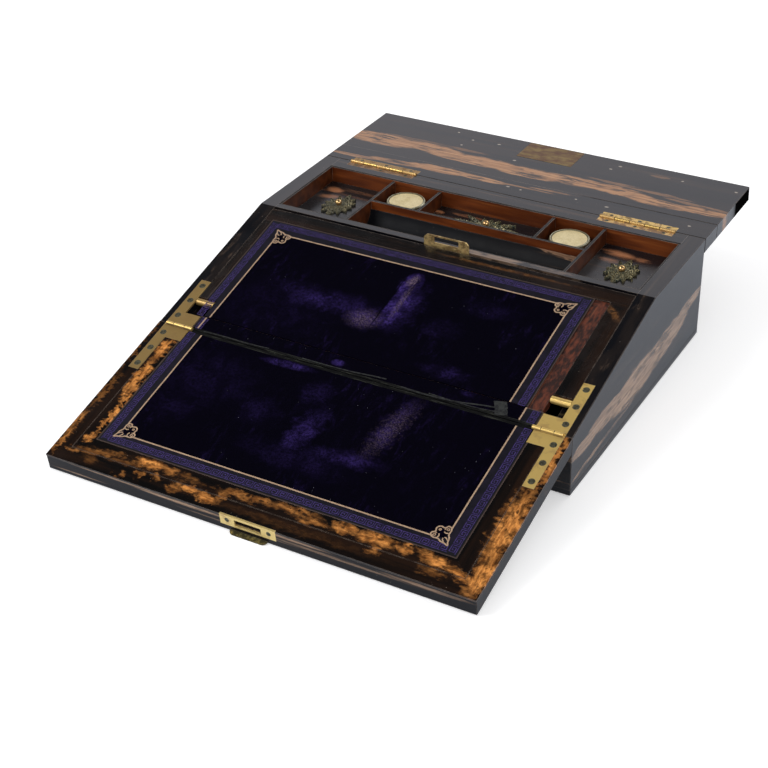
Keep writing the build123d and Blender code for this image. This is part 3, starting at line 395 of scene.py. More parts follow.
@dataclass(frozen=True)
class Patch:
    """One streak, worn place or flame of figure.

    Attributes:
        centre: Its middle in the pattern's plane.
        reach: Its half length and half width.
        turn: Its turn in degrees.
        strength: How strongly it shows.
        ragged: How far its edge wanders.
        core: The share of its reach that is at full strength.
    """

    centre: Point
    reach: Point
    turn: float = 0.0
    strength: float = 1.0
    ragged: float = 10.0
    core: float = 0.8

    def mask(self, graph: Graph, at: Socket, stretch: Sequence[float]) -> Socket:
        """The patch's mask.

        Args:
            graph: The material's graph.
            at: The place on the pattern.
            stretch: How the raggedness is drawn out along the grain.

        Returns:
            The mask socket.
        """
        node = graph.effect(
            Effect.PATCH, Vector=at, Centre=(*self.centre, 0.0), Reach=(*self.reach, ENDLESS),
            Turn=-math.radians(self.turn), Strength=self.strength, Core=self.core, Stretch=stretch,
            Ragged=(self.ragged * 2.0, self.ragged, 0.0))
        return node.outputs["Mask"]


def laid(*rows: tuple[float, ...]) -> tuple[Patch, ...]:
    """Patches from rows: place, half length, half width, and then turn, strength, raggedness and core."""
    return tuple(Patch((along, across), (long, wide), *rest) for along, across, long, wide, *rest in rows)


def all_patches(graph: Graph, at: Socket, patches: Iterable[Patch], stretch: Sequence[float],
                base: Feed = 0.0) -> Feed:
    """The strongest at each place of a mask that is there already and every patch's mask."""
    return graph.most(base, *(patch.mask(graph, at, stretch) for patch in patches))


# ---- finishes ----------------------------------------------------------------------------
FINE_RELIEF = 0.00002
WOOD_EDGE, METAL_EDGE = 0.0006, 0.0005
FACES_AXIS = (0.9, 0.97)
VEIN_DRAWN = (0.006, 0.17, 0.17)
BRUSH_DRAWN = (0.3, 6.0, 3.0)
PILE_EDGE, BALD_EDGE = (0.09, 0.11, 0.1), (0.3, 0.3, 0.3)
SEAM_FADE, DARK_REFLECTION_FADE = 15.0, 8.0
JOINT_AND_REFLECTION_BLACK, DUST_GREY, LINT = (0.002, 0.002, 0.002), (0.42, 0.36, 0.30), (0.30, 0.30, 0.38)
SHADED_SIDE, INK_STAIN = (0.008, 0.004, 0.003), (0.05, 0.06, 0.14)


@dataclass(frozen=True)
class Finish:
    """A finish that makes one procedural material.

    Attributes:
        name: What its material is called.
    """

    name: str

    def sockets(self, graph: Graph) -> dict[str, Feed]:
        """What the shader takes.

        Args:
            graph: The material's graph.

        Returns:
            The shader's inputs by name.
        """
        raise NotImplementedError

    def material(self) -> bpy.types.Material:
        """The finish's material, made once.

        Returns:
            The material.
        """
        title = f"{self.name}_finish"
        found = bpy.data.materials.get(title)
        if found:
            return found
        material = bpy.data.materials.new(title)
        material.use_nodes = True
        graph = Graph(material.node_tree)
        graph.feed(material.node_tree.nodes["Principled BSDF"], self.sockets(graph))
        return material


@dataclass(frozen=True)
class Wood(Finish):
    """Polished exotic wood.

    Attributes:
        lay: How its pattern lies.
        patches: Its light streaks.
        mitre: For a framed pattern, its half width and end.
        dark, brown, light, pale: Its colours from darkest to lightest.
        grain, stripe, fleck: Features for each millimetre along, across and in depth.
        edges: The same for the ragged edges of its streaks.
        flecks: How much long dark flecks break the light streaks.
        spots: How much round dark spots break them.
        veins: How much faint streak runs everywhere.
        gloss: Its roughness where smooth and where dull.
        worn: The colour of its rubbed edges, which also paints their highlights.
        edge: How strongly the edges are rubbed and lit by painted highlights.
        dust: How strongly dust shows.
        specular: Its specular level.
        crown: The colour of its level top faces, where they were blackened.
        side: How much painted shade darkens its faces to the left and right.
        seams: Dark joints along the grain: their place, half width and where they start.
        specks: Pale crumbs stuck to it.
        dark_reflection_from: Where, along its right end face, the painted dark reflection starts: black and
            unpolished from there on.
    """

    lay: Lay = Lay.LEVEL
    patches: tuple[Patch, ...] = ()
    mitre: Point = (0.0, 0.0)
    dark: Colour = (0.0038, 0.0042, 0.0060)
    brown: Colour = (0.0125, 0.0095, 0.0090)
    light: Colour = (0.24, 0.115, 0.055)
    pale: Colour = (0.42, 0.235, 0.135)
    grain: Sequence[float] = (0.02, 0.9, 0.9)
    stripe: Sequence[float] = (0.004, 0.09, 0.09)
    fleck: Sequence[float] = (0.07, 0.42, 0.42)
    edges: Sequence[float] = (0.028, 0.16, 0.1)
    flecks: float = 0.85
    spots: float = 0.0
    veins: float = 0.25
    gloss: Point = (0.1, 0.24)
    worn: Colour = (0.30, 0.24, 0.20)
    edge: float = 0.55
    dust: float = 0.6
    specular: float = 0.5
    crown: Optional[Colour] = None
    side: float = 0.0
    seams: tuple[Triple, ...] = ()
    specks: tuple[Patch, ...] = ()
    dark_reflection_from: Optional[float] = None

    def blackened(self, graph: Graph, at: Socket, facing_right: Socket) -> Feed:
        """Where the wood is black and dull: its dark joints, and the painted dark reflection on its right end
        face.

        Args:
            graph: The material's graph.
            at: The place on the pattern.
            facing_right: How far each face looks right.

        Returns:
            The mask.
        """
        along, across, _ = graph.parts(at)
        masks = [
            graph.times(graph.ramp(graph.apart(across, place), half, half * 1.8, 1.0, 0.0),
                        graph.ramp(along, start - SEAM_FADE, start + SEAM_FADE))
            for place, half, start in self.seams]
        # A painted dark reflection: the right end face black and unpolished toward its back.
        if self.dark_reflection_from is not None:
            masks.append(graph.times(
                graph.ramp(facing_right, *FACES_AXIS),
                graph.ramp(across, self.dark_reflection_from - DARK_REFLECTION_FADE, self.dark_reflection_from + DARK_REFLECTION_FADE)))
        return graph.most(*masks)

    def sockets(self, graph: Graph) -> dict[str, Feed]:
        """What the shader takes.

        Args:
            graph: The material's graph.

        Returns:
            The shader's inputs by name.
        """
        at = self.lay.place(graph, self.mitre)
        flat = at if self.lay is not Lay.FRAMED else Lay.SLOPE.place(graph)
        vein = graph.noise(at, detail=4.0, rough=0.6, twist=0.2, drawn=VEIN_DRAWN)
        veins = graph.ramp(vein, 0.56, 0.72, 0.0, self.veins)
        streaks = all_patches(graph, flat, self.patches, self.edges, veins)
        wood = graph.effect(
            Effect.WOOD, Vector=at, Grain=self.grain, Stripe=self.stripe, Fleck=self.fleck,
            Dark=opaque(self.dark), Brown=opaque(self.brown), Light=opaque(self.light), Pale=opaque(self.pale),
            Flecks=self.flecks, Spots=self.spots, Streaks=streaks)
        colour = wood.outputs["Color"]
        facing = graph.facing()
        if self.crown:
            colour = graph.mix(graph.ramp(facing[2], *FACES_AXIS), colour, self.crown)
        # Painted shade on the faces that look left and right.
        if self.side:
            aside = graph.ramp(graph.math("ABSOLUTE", facing[0]), *FACES_AXIS, 0.0, self.side)
            colour = graph.mix(aside, colour, SHADED_SIDE)
        shine: Feed = self.specular
        if self.seams or self.dark_reflection_from is not None:
            black = self.blackened(graph, at, facing[0])
            # Black for the dark joints, and for the painted dark reflection on the end face.
            colour = graph.mix(black, colour, JOINT_AND_REFLECTION_BLACK)
            shine = graph.times(graph.less(1.0, black), self.specular)
        # Rubbed edges lightened; this also paints the highlights along the rounded edges.
        edge = graph.effect(Effect.WORN_LIT_EDGE, Vector=at, Radius=WOOD_EDGE).outputs["Mask"]
        colour = graph.mix(graph.times(edge, self.edge), colour, self.worn)
        dust = graph.effect(Effect.DUST, Vector=at, Spacing=0.2, Size=0.055).outputs["Mask"]
        dust = all_patches(graph, at, self.specks, self.edges, graph.times(dust, self.dust))
        gloss = graph.effect(Effect.HANDLING, Vector=at, Smooth=self.gloss[0], Dull=self.gloss[1])
        return {"Base Color": graph.mix(dust, colour, DUST_GREY), "Roughness": gloss.outputs["Roughness"],
                "Specular IOR Level": shine, "Normal": bump(graph, wood.outputs["Height"], FINE_RELIEF)}


@dataclass(frozen=True)
class Metal(Finish):
    """Brass or steel with its tarnish; on a hinge, painted highlights on its knuckles and painted shade between
    and beside them.

    Attributes:
        bright, dull: Its clean and its tarnished colour.
        crust_and_shade: The colour of the corroded pits, and of the painted shade at a hinge's knuckles.
        tarnish: How much of it is tarnished, from 0 to 1.
        pits: How much of it is pitted.
        gloss: Its roughness where clean and where tarnished.
        edge: How bright its edges are rubbed, which also paints their highlights.
        scale: Size of the tarnish clouds, in features for each millimetre.
        metallic: How much of it still shines as metal.
        blush: The colour of a second, uneven stain.
        joints: Places across at which its knuckles meet.
        knuckle: Where the knuckles lie, front to back.
        left: The duller colour of its left piece.
    """

    bright: Colour = (0.80, 0.56, 0.20)
    dull: Colour = (0.38, 0.255, 0.085)
    crust_and_shade: Colour = (0.07, 0.045, 0.02)
    tarnish: float = 0.4
    pits: float = 0.5
    gloss: Point = (0.26, 0.48)
    edge: float = 0.6
    scale: float = 0.14
    metallic: float = 1.0
    blush: Colour = (0.50, 0.30, 0.15)
    joints: tuple[float, ...] = ()
    knuckle: float = 0.0
    left: Optional[Colour] = None

    def barrel(self, graph: Graph, at: Socket) -> tuple[Socket, Feed]:
        """Where the knuckles lie, and the painted shade in the gaps between them and the painted contact shadow
        beside them.

        Args:
            graph: The material's graph.
            at: The place in millimetres.

        Returns:
            The mask of the knuckles and the mask of the painted shade.
        """
        across, along, _ = graph.parts(at)
        near = graph.apart(along, self.knuckle)
        knuckles = graph.ramp(near, 1.7, 1.9, 1.0, 0.0)
        aside = graph.math("ABSOLUTE", across)
        # Painted shade in the gaps where two knuckles meet.
        painted_joint_shade = graph.most(*(graph.ramp(graph.apart(aside, place), 0.2, 0.4, 1.0, 0.0) for place in self.joints))
        # Painted contact shadow in a band along each side of the knuckle.
        painted_contact_shade = graph.times(graph.ramp(near, 1.75, 1.95), graph.ramp(near, 2.3, 2.8, 1.0, 0.0), 0.75)
        return knuckles, graph.most(graph.times(painted_joint_shade, knuckles), painted_contact_shade)

    def sockets(self, graph: Graph) -> dict[str, Feed]:
        """What the shader takes.

        Args:
            graph: The material's graph.

        Returns:
            The shader's inputs by name.
        """
        at = Lay.LEVEL.place(graph)
        cloud = graph.noise(at, self.scale, 5.0, 0.68, 0.4)
        aged = graph.ramp(cloud, 0.66 - 0.3 * self.tarnish, 0.76 - 0.25 * self.tarnish)
        pits_and_shade = graph.times(graph.spots(at, 0.55, 0.26, 0.6), graph.ramp(cloud, 0.46, 0.6), self.pits)
        colour = graph.mix(aged, self.bright, self.dull)
        stain = graph.ramp(graph.noise(at, self.scale * 1.7, 3.0, 0.55, 0.2), 0.52, 0.66, 0.0, 0.45)
        colour = graph.mix(stain, colour, self.blush)
        if self.left:
            colour = graph.mix(graph.ramp(graph.parts(at)[0], -5.0, 5.0, 0.85, 0.0), colour, self.left)
        # Rubbed edges brightened; this also paints the highlights along the rounded edges.
        edge = graph.effect(Effect.WORN_LIT_EDGE, Vector=at, Radius=METAL_EDGE).outputs["Mask"]
        colour = graph.mix(graph.times(edge, self.edge), colour, self.bright)
        height = graph.times(graph.noise(at, detail=2.0, drawn=BRUSH_DRAWN), 0.2 if self.joints else 0.3)
        if self.joints:
            knuckles, painted_knuckle_shade = self.barrel(graph, at)
            # Painted highlight: the knuckles are lightened toward the clean colour.
            colour = graph.mix(graph.times(knuckles, 0.7), colour, self.bright)
            plain = graph.less(1.0, knuckles)
            pits_and_shade, height = graph.most(graph.times(pits_and_shade, plain), painted_knuckle_shade), graph.times(height, plain)
        # The pits' crust colour, which at a hinge also paints the shade at its knuckles.
        colour = graph.mix(pits_and_shade, colour, self.crust_and_shade)
        rough = graph.most(graph.ramp(aged, 0.0, 1.0, *self.gloss), graph.times(pits_and_shade, 0.7))
        metal: Feed = self.metallic
        if self.pits or self.joints:
            metal = graph.times(graph.less(1.0, graph.times(pits_and_shade, 0.8)), self.metallic)
        return {"Base Color": colour, "Metallic": metal, "Roughness": rough,
                "Normal": bump(graph, height, FINE_RELIEF)}


@dataclass(frozen=True)
class Pile(Finish):
    """Worn velvet.

    Attributes:
        pile: The colour of the full pile.
        rubbed: The colour where it is rubbed.
        bald: The colour of the bare ground.
        patches: The rubbed places.
        bald_patches: The bare places.
        creases: Dark folds across the rubbed places.
    """

    pile: Colour = (0.0008, 0.0005, 0.0024)
    rubbed: Colour = (0.042, 0.024, 0.150)
    bald: Colour = (0.21, 0.145, 0.19)
    patches: tuple[Patch, ...] = ()
    bald_patches: tuple[Patch, ...] = ()
    creases: tuple[Patch, ...] = ()

    def sockets(self, graph: Graph) -> dict[str, Feed]:
        """What the shader takes.

        Args:
            graph: The material's graph.

        Returns:
            The shader's inputs by name.
        """
        at = Lay.SLOPE.place(graph)
        hair = graph.noise(at, 2.4, 3.0, 0.7)
        brushed = graph.noise(at, detail=5.0, rough=0.66, twist=0.8, drawn=(0.16, 0.05, 0.1))
        cloud = graph.noise(at, 0.018, 3.0, 0.55)
        crushed = graph.times(graph.ramp(brushed, 0.48, 0.74, 0.0, 0.22), graph.ramp(cloud, 0.42, 0.62))
        rubbed = all_patches(graph, at, self.patches, PILE_EDGE, crushed)
        torn = graph.ramp(graph.noise(at, 0.38, 5.0, 0.8), 0.36, 0.62, 0.12, 1.0)
        drift = graph.ramp(graph.noise(at, 0.05, 4.0, 0.65, 0.6), 0.38, 0.62, 0.25, 1.0)
        rubbed = graph.times(rubbed, graph.times(torn, drift))
        bald = graph.times(all_patches(graph, at, self.bald_patches, BALD_EDGE),
                           graph.ramp(graph.noise(at, 0.9, 4.0, 0.75), 0.44, 0.62))
        lint = graph.effect(Effect.DUST, Vector=at, Spacing=0.17, Size=0.05).outputs["Mask"]
        colour = graph.mix(rubbed, self.pile, self.rubbed)
        for mask, over in (
                (graph.ramp(hair, 0.45, 0.7, 0.0, 0.025), self.rubbed), (bald, self.bald),
                (all_patches(graph, at, self.creases, PILE_EDGE), self.pile), (graph.times(lint, 0.6), LINT)):
            colour = graph.mix(mask, colour, over)
        height = graph.math("ADD", hair, graph.times(brushed, 0.7))
        return {"Base Color": colour, "Roughness": graph.ramp(rubbed, 0.0, 1.0, 0.95, 0.78),
                "Specular IOR Level": 0.02, "Sheen Weight": 0.006, "Sheen Roughness": 0.45,
                "Sheen Tint": (0.28, 0.18, 1.0, 1.0), "Normal": bump(graph, height, 0.0004, 0.8)}


@dataclass(frozen=True)
class Hide(Finish):
    """Tooled leather, darker and greyer along its outer edge.

    Attributes:
        ground: Its colour.
        rubbed: Its colour on the ridges of the grain.
        edge: The colour of its outer strip.
        cut: The colour of its cut edge.
        reach: The left, right and end of the leather, in the slope's plane.
        strip: How wide the outer strip is.
        end_sign: 1 where the end is up the slope, and -1 where it is down.
    """

    ground: Colour = (0.0026, 0.0020, 0.0066)
    rubbed: Colour = (0.0085, 0.0058, 0.0185)
    edge: Colour = (0.0042, 0.0046, 0.0064)
    cut: Colour = (0.075, 0.045, 0.036)
    reach: Triple = (0.0, 0.0, 0.0)
    strip: float = 3.4
    end_sign: float = -1.0

    def sockets(self, graph: Graph) -> dict[str, Feed]:
        """What the shader takes.

        Args:
            graph: The material's graph.

        Returns:
            The shader's inputs by name.
        """
        at = Lay.SLOPE.place(graph)
        across, up, _ = graph.parts(at)
        sides = graph.math("MINIMUM", graph.less(across, self.reach[0]), graph.less(self.reach[1], across))
        end = graph.less(self.reach[2] * self.end_sign, graph.times(up, self.end_sign))
        inset = graph.math("MINIMUM", sides, end)
        cloud = graph.noise(at, 0.09, 4.0, 0.65)
        wander = graph.math("ADD", inset, graph.ramp(cloud, 0.3, 0.7, -0.5, 0.5))
        pebble = graph.add("ShaderNodeTexVoronoi", {"Vector": at, "Scale": 1.3}).outputs["Distance"]
        colour = graph.mix(graph.ramp(cloud, 0.42, 0.7, 0.0, 0.7), self.ground, self.rubbed)
        colour = graph.mix(graph.ramp(wander, self.strip, self.strip + 0.5, 0.9, 0.0), colour, self.edge)
        colour = graph.mix(graph.ramp(inset, 0.5, 1.1, 0.75, 0.0), colour, self.cut)
        height = graph.math("ADD", graph.times(pebble, 0.5), graph.noise(at, 1.1, 3.0))
        return {"Base Color": colour, "Roughness": graph.ramp(cloud, 0.3, 0.7, 0.5, 0.7),
                "Specular IOR Level": 0.17, "Normal": bump(graph, height, 0.0001, 0.7)}


@dataclass(frozen=True)
class Plain(Finish):
    """A small finish of two mixed colours with its own gloss and fine relief.

    Attributes:
        base, spread: Its two colours.
        scale: Features for each millimetre.
        gloss: Its roughness at the first and second colour.
        metallic: Whether it is metal.
        relief: Depth of its relief in metres.
        specular: Its specular level.
        drawn: How its pattern is drawn out across, along and in depth.
        blend: Where its second colour starts and is full.
    """

    base: Colour = (0.02, 0.02, 0.02)
    spread: Colour = (0.04, 0.04, 0.04)
    scale: float = 0.5
    gloss: Point = (0.5, 0.7)
    metallic: float = 0.0
    relief: float = 0.0001
    specular: float = 0.4
    drawn: Sequence[float] = (1.0, 1.0, 1.0)
    blend: Point = (0.36, 0.66)

    def sockets(self, graph: Graph) -> dict[str, Feed]:
        """What the shader takes.

        Args:
            graph: The material's graph.

        Returns:
            The shader's inputs by name.
        """
        cloud = graph.noise(Lay.LEVEL.place(graph), self.scale, 5.0, 0.68, 0.3, self.drawn)
        share = graph.ramp(cloud, *self.blend)
        return {"Base Color": graph.mix(share, self.base, self.spread), "Metallic": self.metallic,
                "Roughness": graph.ramp(share, 0.0, 1.0, *self.gloss), "Specular IOR Level": self.specular,
                "Normal": bump(graph, cloud, self.relief)}


@dataclass(frozen=True)
class Crackled(Finish):
    """Cream disc, finely crackled, with painted shade round its edge, where it sits below the rim.

    Attributes:
        cream, stain, crack, groove: Its colours; the last is the painted shade round the disc's edge.
        centre: Where the disc lies, to either side and along.
        rim: Its radius.
    """

    cream: Colour = (0.66, 0.55, 0.31)
    stain: Colour = (0.48, 0.38, 0.18)
    crack: Colour = (0.25, 0.18, 0.09)
    groove_shade: Colour = (0.035, 0.032, 0.018)
    centre: Point = (81.25, 97.4)
    rim: float = 15.9

    def sockets(self, graph: Graph) -> dict[str, Feed]:
        """What the shader takes.

        Args:
            graph: The material's graph.

        Returns:
            The shader's inputs by name.
        """
        at = Lay.LEVEL.place(graph)
        cells = graph.add("ShaderNodeTexVoronoi", {"Vector": at, "Scale": 0.32}, feature="DISTANCE_TO_EDGE")
        crack = graph.ramp(cells.outputs["Distance"], 0.0, 0.035, 0.55, 0.0)
        cloud = graph.noise(at, 0.12, 5.0, 0.65)
        colour = graph.mix(graph.ramp(cloud, 0.4, 0.75, 0.0, 0.8), self.cream, self.stain)
        colour = graph.mix(crack, colour, self.crack)
        across, along, _ = graph.parts(at)
        off = graph.joined(graph.less(graph.math("ABSOLUTE", across), self.centre[0]),
                           graph.less(along, self.centre[1]))
        # Painted shade round the disc's edge, below the rim.
        rim_shade = graph.ramp(graph.vector("LENGTH", off), self.rim - 0.9, self.rim)
        return {"Base Color": graph.mix(rim_shade, colour, self.groove_shade),
                "Roughness": graph.ramp(cloud, 0.3, 0.7, 0.3, 0.5),
                "Normal": bump(graph, graph.less(1.0, crack), 0.00005)}


@dataclass(frozen=True)
class Clear(Finish):
    """Clear old glass with a stain of dried ink low in it.

    Attributes:
        tint: The glass's own colour.
        stained: Heights between which the stain fades, in millimetres.
    """

    tint: Colour = (0.86, 0.91, 0.90)
    stained: Point = (42.0, 56.0)

    def sockets(self, graph: Graph) -> dict[str, Feed]:
        """What the shader takes.

        Args:
            graph: The material's graph.

        Returns:
            The shader's inputs by name.
        """
        at = Lay.LEVEL.place(graph)
        ripple = graph.noise(at, 0.08, 2.0)
        stain = graph.times(graph.ramp(graph.parts(at)[2], *self.stained, 0.75, 0.0),
                            graph.ramp(ripple, 0.35, 0.6, 0.6, 1.0))
        return {"Base Color": graph.mix(stain, self.tint, INK_STAIN), "Roughness": 0.04, "IOR": 1.5,
                "Transmission Weight": 1.0, "Normal": bump(graph, ripple, 0.0004)}


# ---- the finishes of this slope ----------------------------------------------------------
FRAME_MITRE = (190.0, -163.56)
LID_STREAKS = laid(
    (-162, 195, 42, 12.5, 0, 1, 6), (-106, 197, 36, 9, -3, 1, 6), (-70, 187, 40, 5, -2, 0.95, 5),
    (-46, 192, 34, 9.5, 0, 1, 6), (-4, 189, 38, 10, 0, 1, 6), (42, 192, 38, 9, 0, 1, 6),
    (88, 191, 34, 8.5, -3, 1, 6), (128, 184, 32, 6.5, -2, 1, 5), (170, 186, 36, 6, 2, 0.95, 5),
    (104, 203, 52, 3, -3, 0.45, 4), (160, 195, 32, 2.4, -3, 0.5, 3), (-110, 208, 60, 3, 0, 0.3, 5),
    (110, 236, 10, 3, 0, 0.3, 4), (-168, 150, 28, 3, 1, 0.65, 4), (-118, 155, 34, 4.6, 3, 0.85, 4),
    (-78, 158.5, 36, 6.4, 1, 1, 5), (-38, 158, 28, 4.6, -1, 0.95, 4), (4, 158.6, 36, 1.3, 0, 0.6, 2),
    (36, 163, 24, 1.8, 3, 0.6, 3))
SPECK_WIDTHS = (1.4, 1.8, 2.2)
LID_SPECKS = tuple(
    Patch(place, (SPECK_WIDTHS[i % 3], 1.4), 0, 0.75, 1.6, 0.4) for i, place in enumerate((
        (-102, 242), (-81, 232), (-54, 234), (-86, 217), (-25, 208), (-6, 154), (7, 153), (63, 231),
        (69, 240), (132, 236), (183, 236), (91, 156), (60, 158), (169, 154))))
SIDE_STREAKS = laid(
    (104, 45, 34, 6, 4, 0.9, 6), (58, 37, 48, 12, 4, 0.95, 8), (-5, 33, 58, 15, 1, 1, 9),
    (-66, 36, 42, 9, -2, 0.95, 6), (-112, 34, 26, 6, -2, 0.9, 5), (-105, 14, 32, 2.2, 4, 0.8, 3),
    (-60, 16, 60, 2, 2, 0.4, 4))
BACK_STREAKS = laid(
    (-110, 62, 70, 9, -2, 0.9, 22, 0.4), (-20, 55, 75, 12, 2, 0.95, 24, 0.4),
    (90, 50, 80, 10, 3, 0.9, 24, 0.4), (20, 26, 150, 4, 1, 0.6, 20, 0.3))
# Figure is drawn a little larger than its rows say, because its ragged edge eats into it.
FLAME_SPREAD, FLAME_RAGGED, FLAME_CORE = (1.2, 1.15), 13.0, 0.2
FLAP_FLAMES = tuple(
    Patch((x, up), (wide * FLAME_SPREAD[0], high * FLAME_SPREAD[1]), turn, strength, FLAME_RAGGED, FLAME_CORE)
    for x, up, wide, high, turn, strength in (
        (-187.8, -134, 3.6, 27, 0, 0.65), (-186.5, -88, 4, 26, 0, 0.25), (-189, -28, 2, 48, 0, 0.25),
        (-187, 60, 3, 40, 0, 0.2), (-167.5, -28, 6, 14, 0, 1), (-168, -62, 5.4, 24, 0, 1),
        (-164.5, -84, 3.6, 12, 0, 0.9), (-163.6, -110, 3.2, 22, 0, 0.95), (-167, -135.5, 4.6, 5.5, 0, 0.9),
        (-171, -151, 6, 2.6, 0, 0.4), (-148, -146, 24, 3.4, 12, 0.32), (-124, -146.5, 14, 3, 14, 0.2),
        (-103, -141.5, 13, 5.8, 0, 1), (-85, -142, 11, 3.8, -8, 0.65), (-66, -143, 16, 3.8, -4, 0.2),
        (-104.5, -153.5, 2.8, 5, 0, 0.45), (-119, -159, 5, 3.4, 0, 0.35), (-91, -151.5, 4.4, 3.2, 0, 0.45),
        (-152, -155, 8, 5, 0, 0.14), (-72, -154, 6, 6.4, 0, 0.5), (-60, -152.4, 7, 3.8, 0, 1),
        (-43, -154, 11, 4.4, -6, 1), (-32, -149, 4, 5.5, 0, 0.45), (-20, -142.5, 22, 3.8, 2, 0.45),
        (0, -141, 12, 4.2, 0, 0.5), (28, -140, 22, 4.4, 0, 0.5), (46, -145, 14, 3.6, 0, 0.5),
        (71, -141, 10, 5, 0, 0.85), (97, -141.5, 17, 6, 0, 1), (102, -150.5, 5, 4.4, 0, 0.55),
        (122, -141.5, 6, 5, 0, 0.9), (147, -142.5, 15, 5, -8, 1), (168, -147.5, 10, 4, -25, 1),
        (149, -153, 10, 4.2, 0, 0.3), (30, -156, 70, 4, 0, 0.05), (182.5, -96, 10, 42, 0, 1),
        (185, -142, 8.5, 22, -10, 1), (186.5, -28, 4, 34, 0, 0.75)))
SMALL_LID_STREAKS = laid(
    (-161, 103, 10, 6.5, 0, 1, 6, 0.4), (-158, 89, 14, 5, 15, 0.55, 6, 0.3),
    (-128, 108, 26, 2.6, -4, 0.3, 5, 0.3), (126, 105, 18, 6.5, -5, 0.95, 8, 0.3),
    (147, 103, 10, 5, -5, 0.6, 6, 0.3), (122, 91, 12, 5, 0, 0.5, 6, 0.2), (-52, 106, 6, 4, 0, 1, 4, 0.5),
    (-24, 110, 16, 2.5, 0, 0.4, 4))
RAIL_STREAKS = laid((42, 94, 26, 3, 0, 0.5, 4), (95, 93, 30, 2, 0, 0.25, 4))
FLAP_END_STREAKS = laid(
    (-120, -1.6, 50, 1.2, 0, 0.9, 1.2, 0.4), (-58, -3.2, 50, 1.6, 0, 1, 1.4, 0.4),
    (-160, -10.5, 30, 0.8, 0, 0.6, 1.2, 0.4), (30, -2.6, 44, 1.5, 0, 0.8, 1.6, 0.4),
    (-10, -8, 60, 0.8, 0, 0.5, 1.4, 0.4), (80, -6, 70, 1.4, 0, 0.6, 2, 0.4),
    (150, -4, 40, 1.8, 0, 0.8, 2, 0.4))
AMBER = {"dark": (0.0026, 0.0022, 0.0022), "brown": (0.014, 0.0065, 0.0038), "light": (0.24, 0.078, 0.015),
         "pale": (0.86, 0.35, 0.085), "fleck": (0.15, 0.24, 0.24), "edges": (0.12, 0.2, 0.1), "spots": 0.95,
         "grain": (0.09, 0.34, 0.34)}
PALE_STREAK = {"light": (0.20, 0.122, 0.08), "pale": (0.48, 0.32, 0.215), "fleck": (0.05, 0.26, 0.26),
               "edges": (0.06, 0.2, 0.1)}

COROMANDEL_LID = Wood(
    "coromandel_lid", Lay.LEVEL, LID_STREAKS, flecks=0.9, light=(0.22, 0.095, 0.033),
    pale=(0.47, 0.24, 0.110), fleck=(0.045, 0.32, 0.3), edges=(0.06, 0.26, 0.1), veins=0.1,
    seams=((167.4, 0.4, 60.0), (137.6, 0.8, -400.0)), specks=LID_SPECKS, dark_reflection_from=208.0)
COROMANDEL_LEVEL = Wood(
    "coromandel_small_lids", Lay.LEVEL, SMALL_LID_STREAKS, veins=0.2, light=(0.30, 0.11, 0.045),
    pale=(0.42, 0.19, 0.095), gloss=(0.2, 0.36))
COROMANDEL_SIDE = Wood("coromandel_side", Lay.SIDE, SIDE_STREAKS, flecks=0.65, veins=0.1, **PALE_STREAK)
COROMANDEL_UPRIGHT = Wood("coromandel_upright", Lay.UPRIGHT, BACK_STREAKS, flecks=0.8)
COROMANDEL_RAIL = Wood("coromandel_rail", Lay.UPRIGHT, RAIL_STREAKS, veins=0.2, **PALE_STREAK)
COROMANDEL_FLAP = Wood(
    "coromandel_flap", Lay.SLOPE_END, FLAP_END_STREAKS, veins=0.1, flecks=0.4, specular=0.24, **PALE_STREAK)
COROMANDEL_EDGE = Wood(
    "coromandel_flap_edge", Lay.FRAMED, FLAP_FLAMES, FRAME_MITRE, flecks=0.65, veins=0.02, **AMBER)
COROMANDEL_FIGURED = Wood(
    "figured_coromandel", Lay.FRAMED, FLAP_FLAMES, FRAME_MITRE, flecks=0.8, veins=0.0, **AMBER)
PANEL_STREAKS = laid(
    (164, 138, 15, 4.5, -42, 0.2, 6, 0.2), (60, 156, 80, 2, 0, 0.12, 3, 0.3))
COROMANDEL_PANEL = Wood(
    "coromandel_panel", Lay.FRAMED, PANEL_STREAKS, (190.0, 163.0), flecks=0.8, veins=0.04, gloss=(0.2, 0.4),
    **AMBER)
BLACK_WOOD = Wood("black_wood", Lay.LEVEL, veins=0.08, brown=(0.008, 0.006, 0.006), edge=0.35)
TROUGH_STREAKS = laid((80, 72.6, 20, 1.2, -3, 0.8, 1.2), (98, 71.6, 6, 1.8, -14, 0.8, 1))
TROUGH_WOOD = Wood(
    "trough_wood", Lay.LEVEL, TROUGH_STREAKS, veins=0.1, dark=(0.0022, 0.0028, 0.0046),
    brown=(0.0050, 0.0048, 0.0058), light=(0.16, 0.085, 0.05), edge=0.3, gloss=(0.5, 0.7), specular=0.16)
MAHOGANY = Wood(
    "mahogany", Lay.LEVEL, dark=(0.080, 0.017, 0.004), brown=(0.19, 0.046, 0.0095),
    light=(0.28, 0.078, 0.016), pale=(0.34, 0.11, 0.026), stripe=(0.012, 0.12, 0.12), veins=0.8, flecks=0.35,
    gloss=(0.35, 0.55), worn=(0.36, 0.30, 0.25), edge=0.7, dust=0.1, specular=0.3,
    crown=(0.006, 0.005, 0.005), side=0.6)
BARE_GROUND = Wood(
    "bare_ground", Lay.FRAMED, (), (176.0, 170.0), dark=(0.020, 0.006, 0.004), brown=(0.120, 0.027, 0.011),
    light=(0.18, 0.045, 0.018), pale=(0.27, 0.09, 0.04), veins=0.8, grain=(0.35, 1.1, 0.9),
    stripe=(0.13, 0.35, 0.2), flecks=0.7, spots=0.6, gloss=(0.5, 0.75), edge=0.6, specular=0.3)

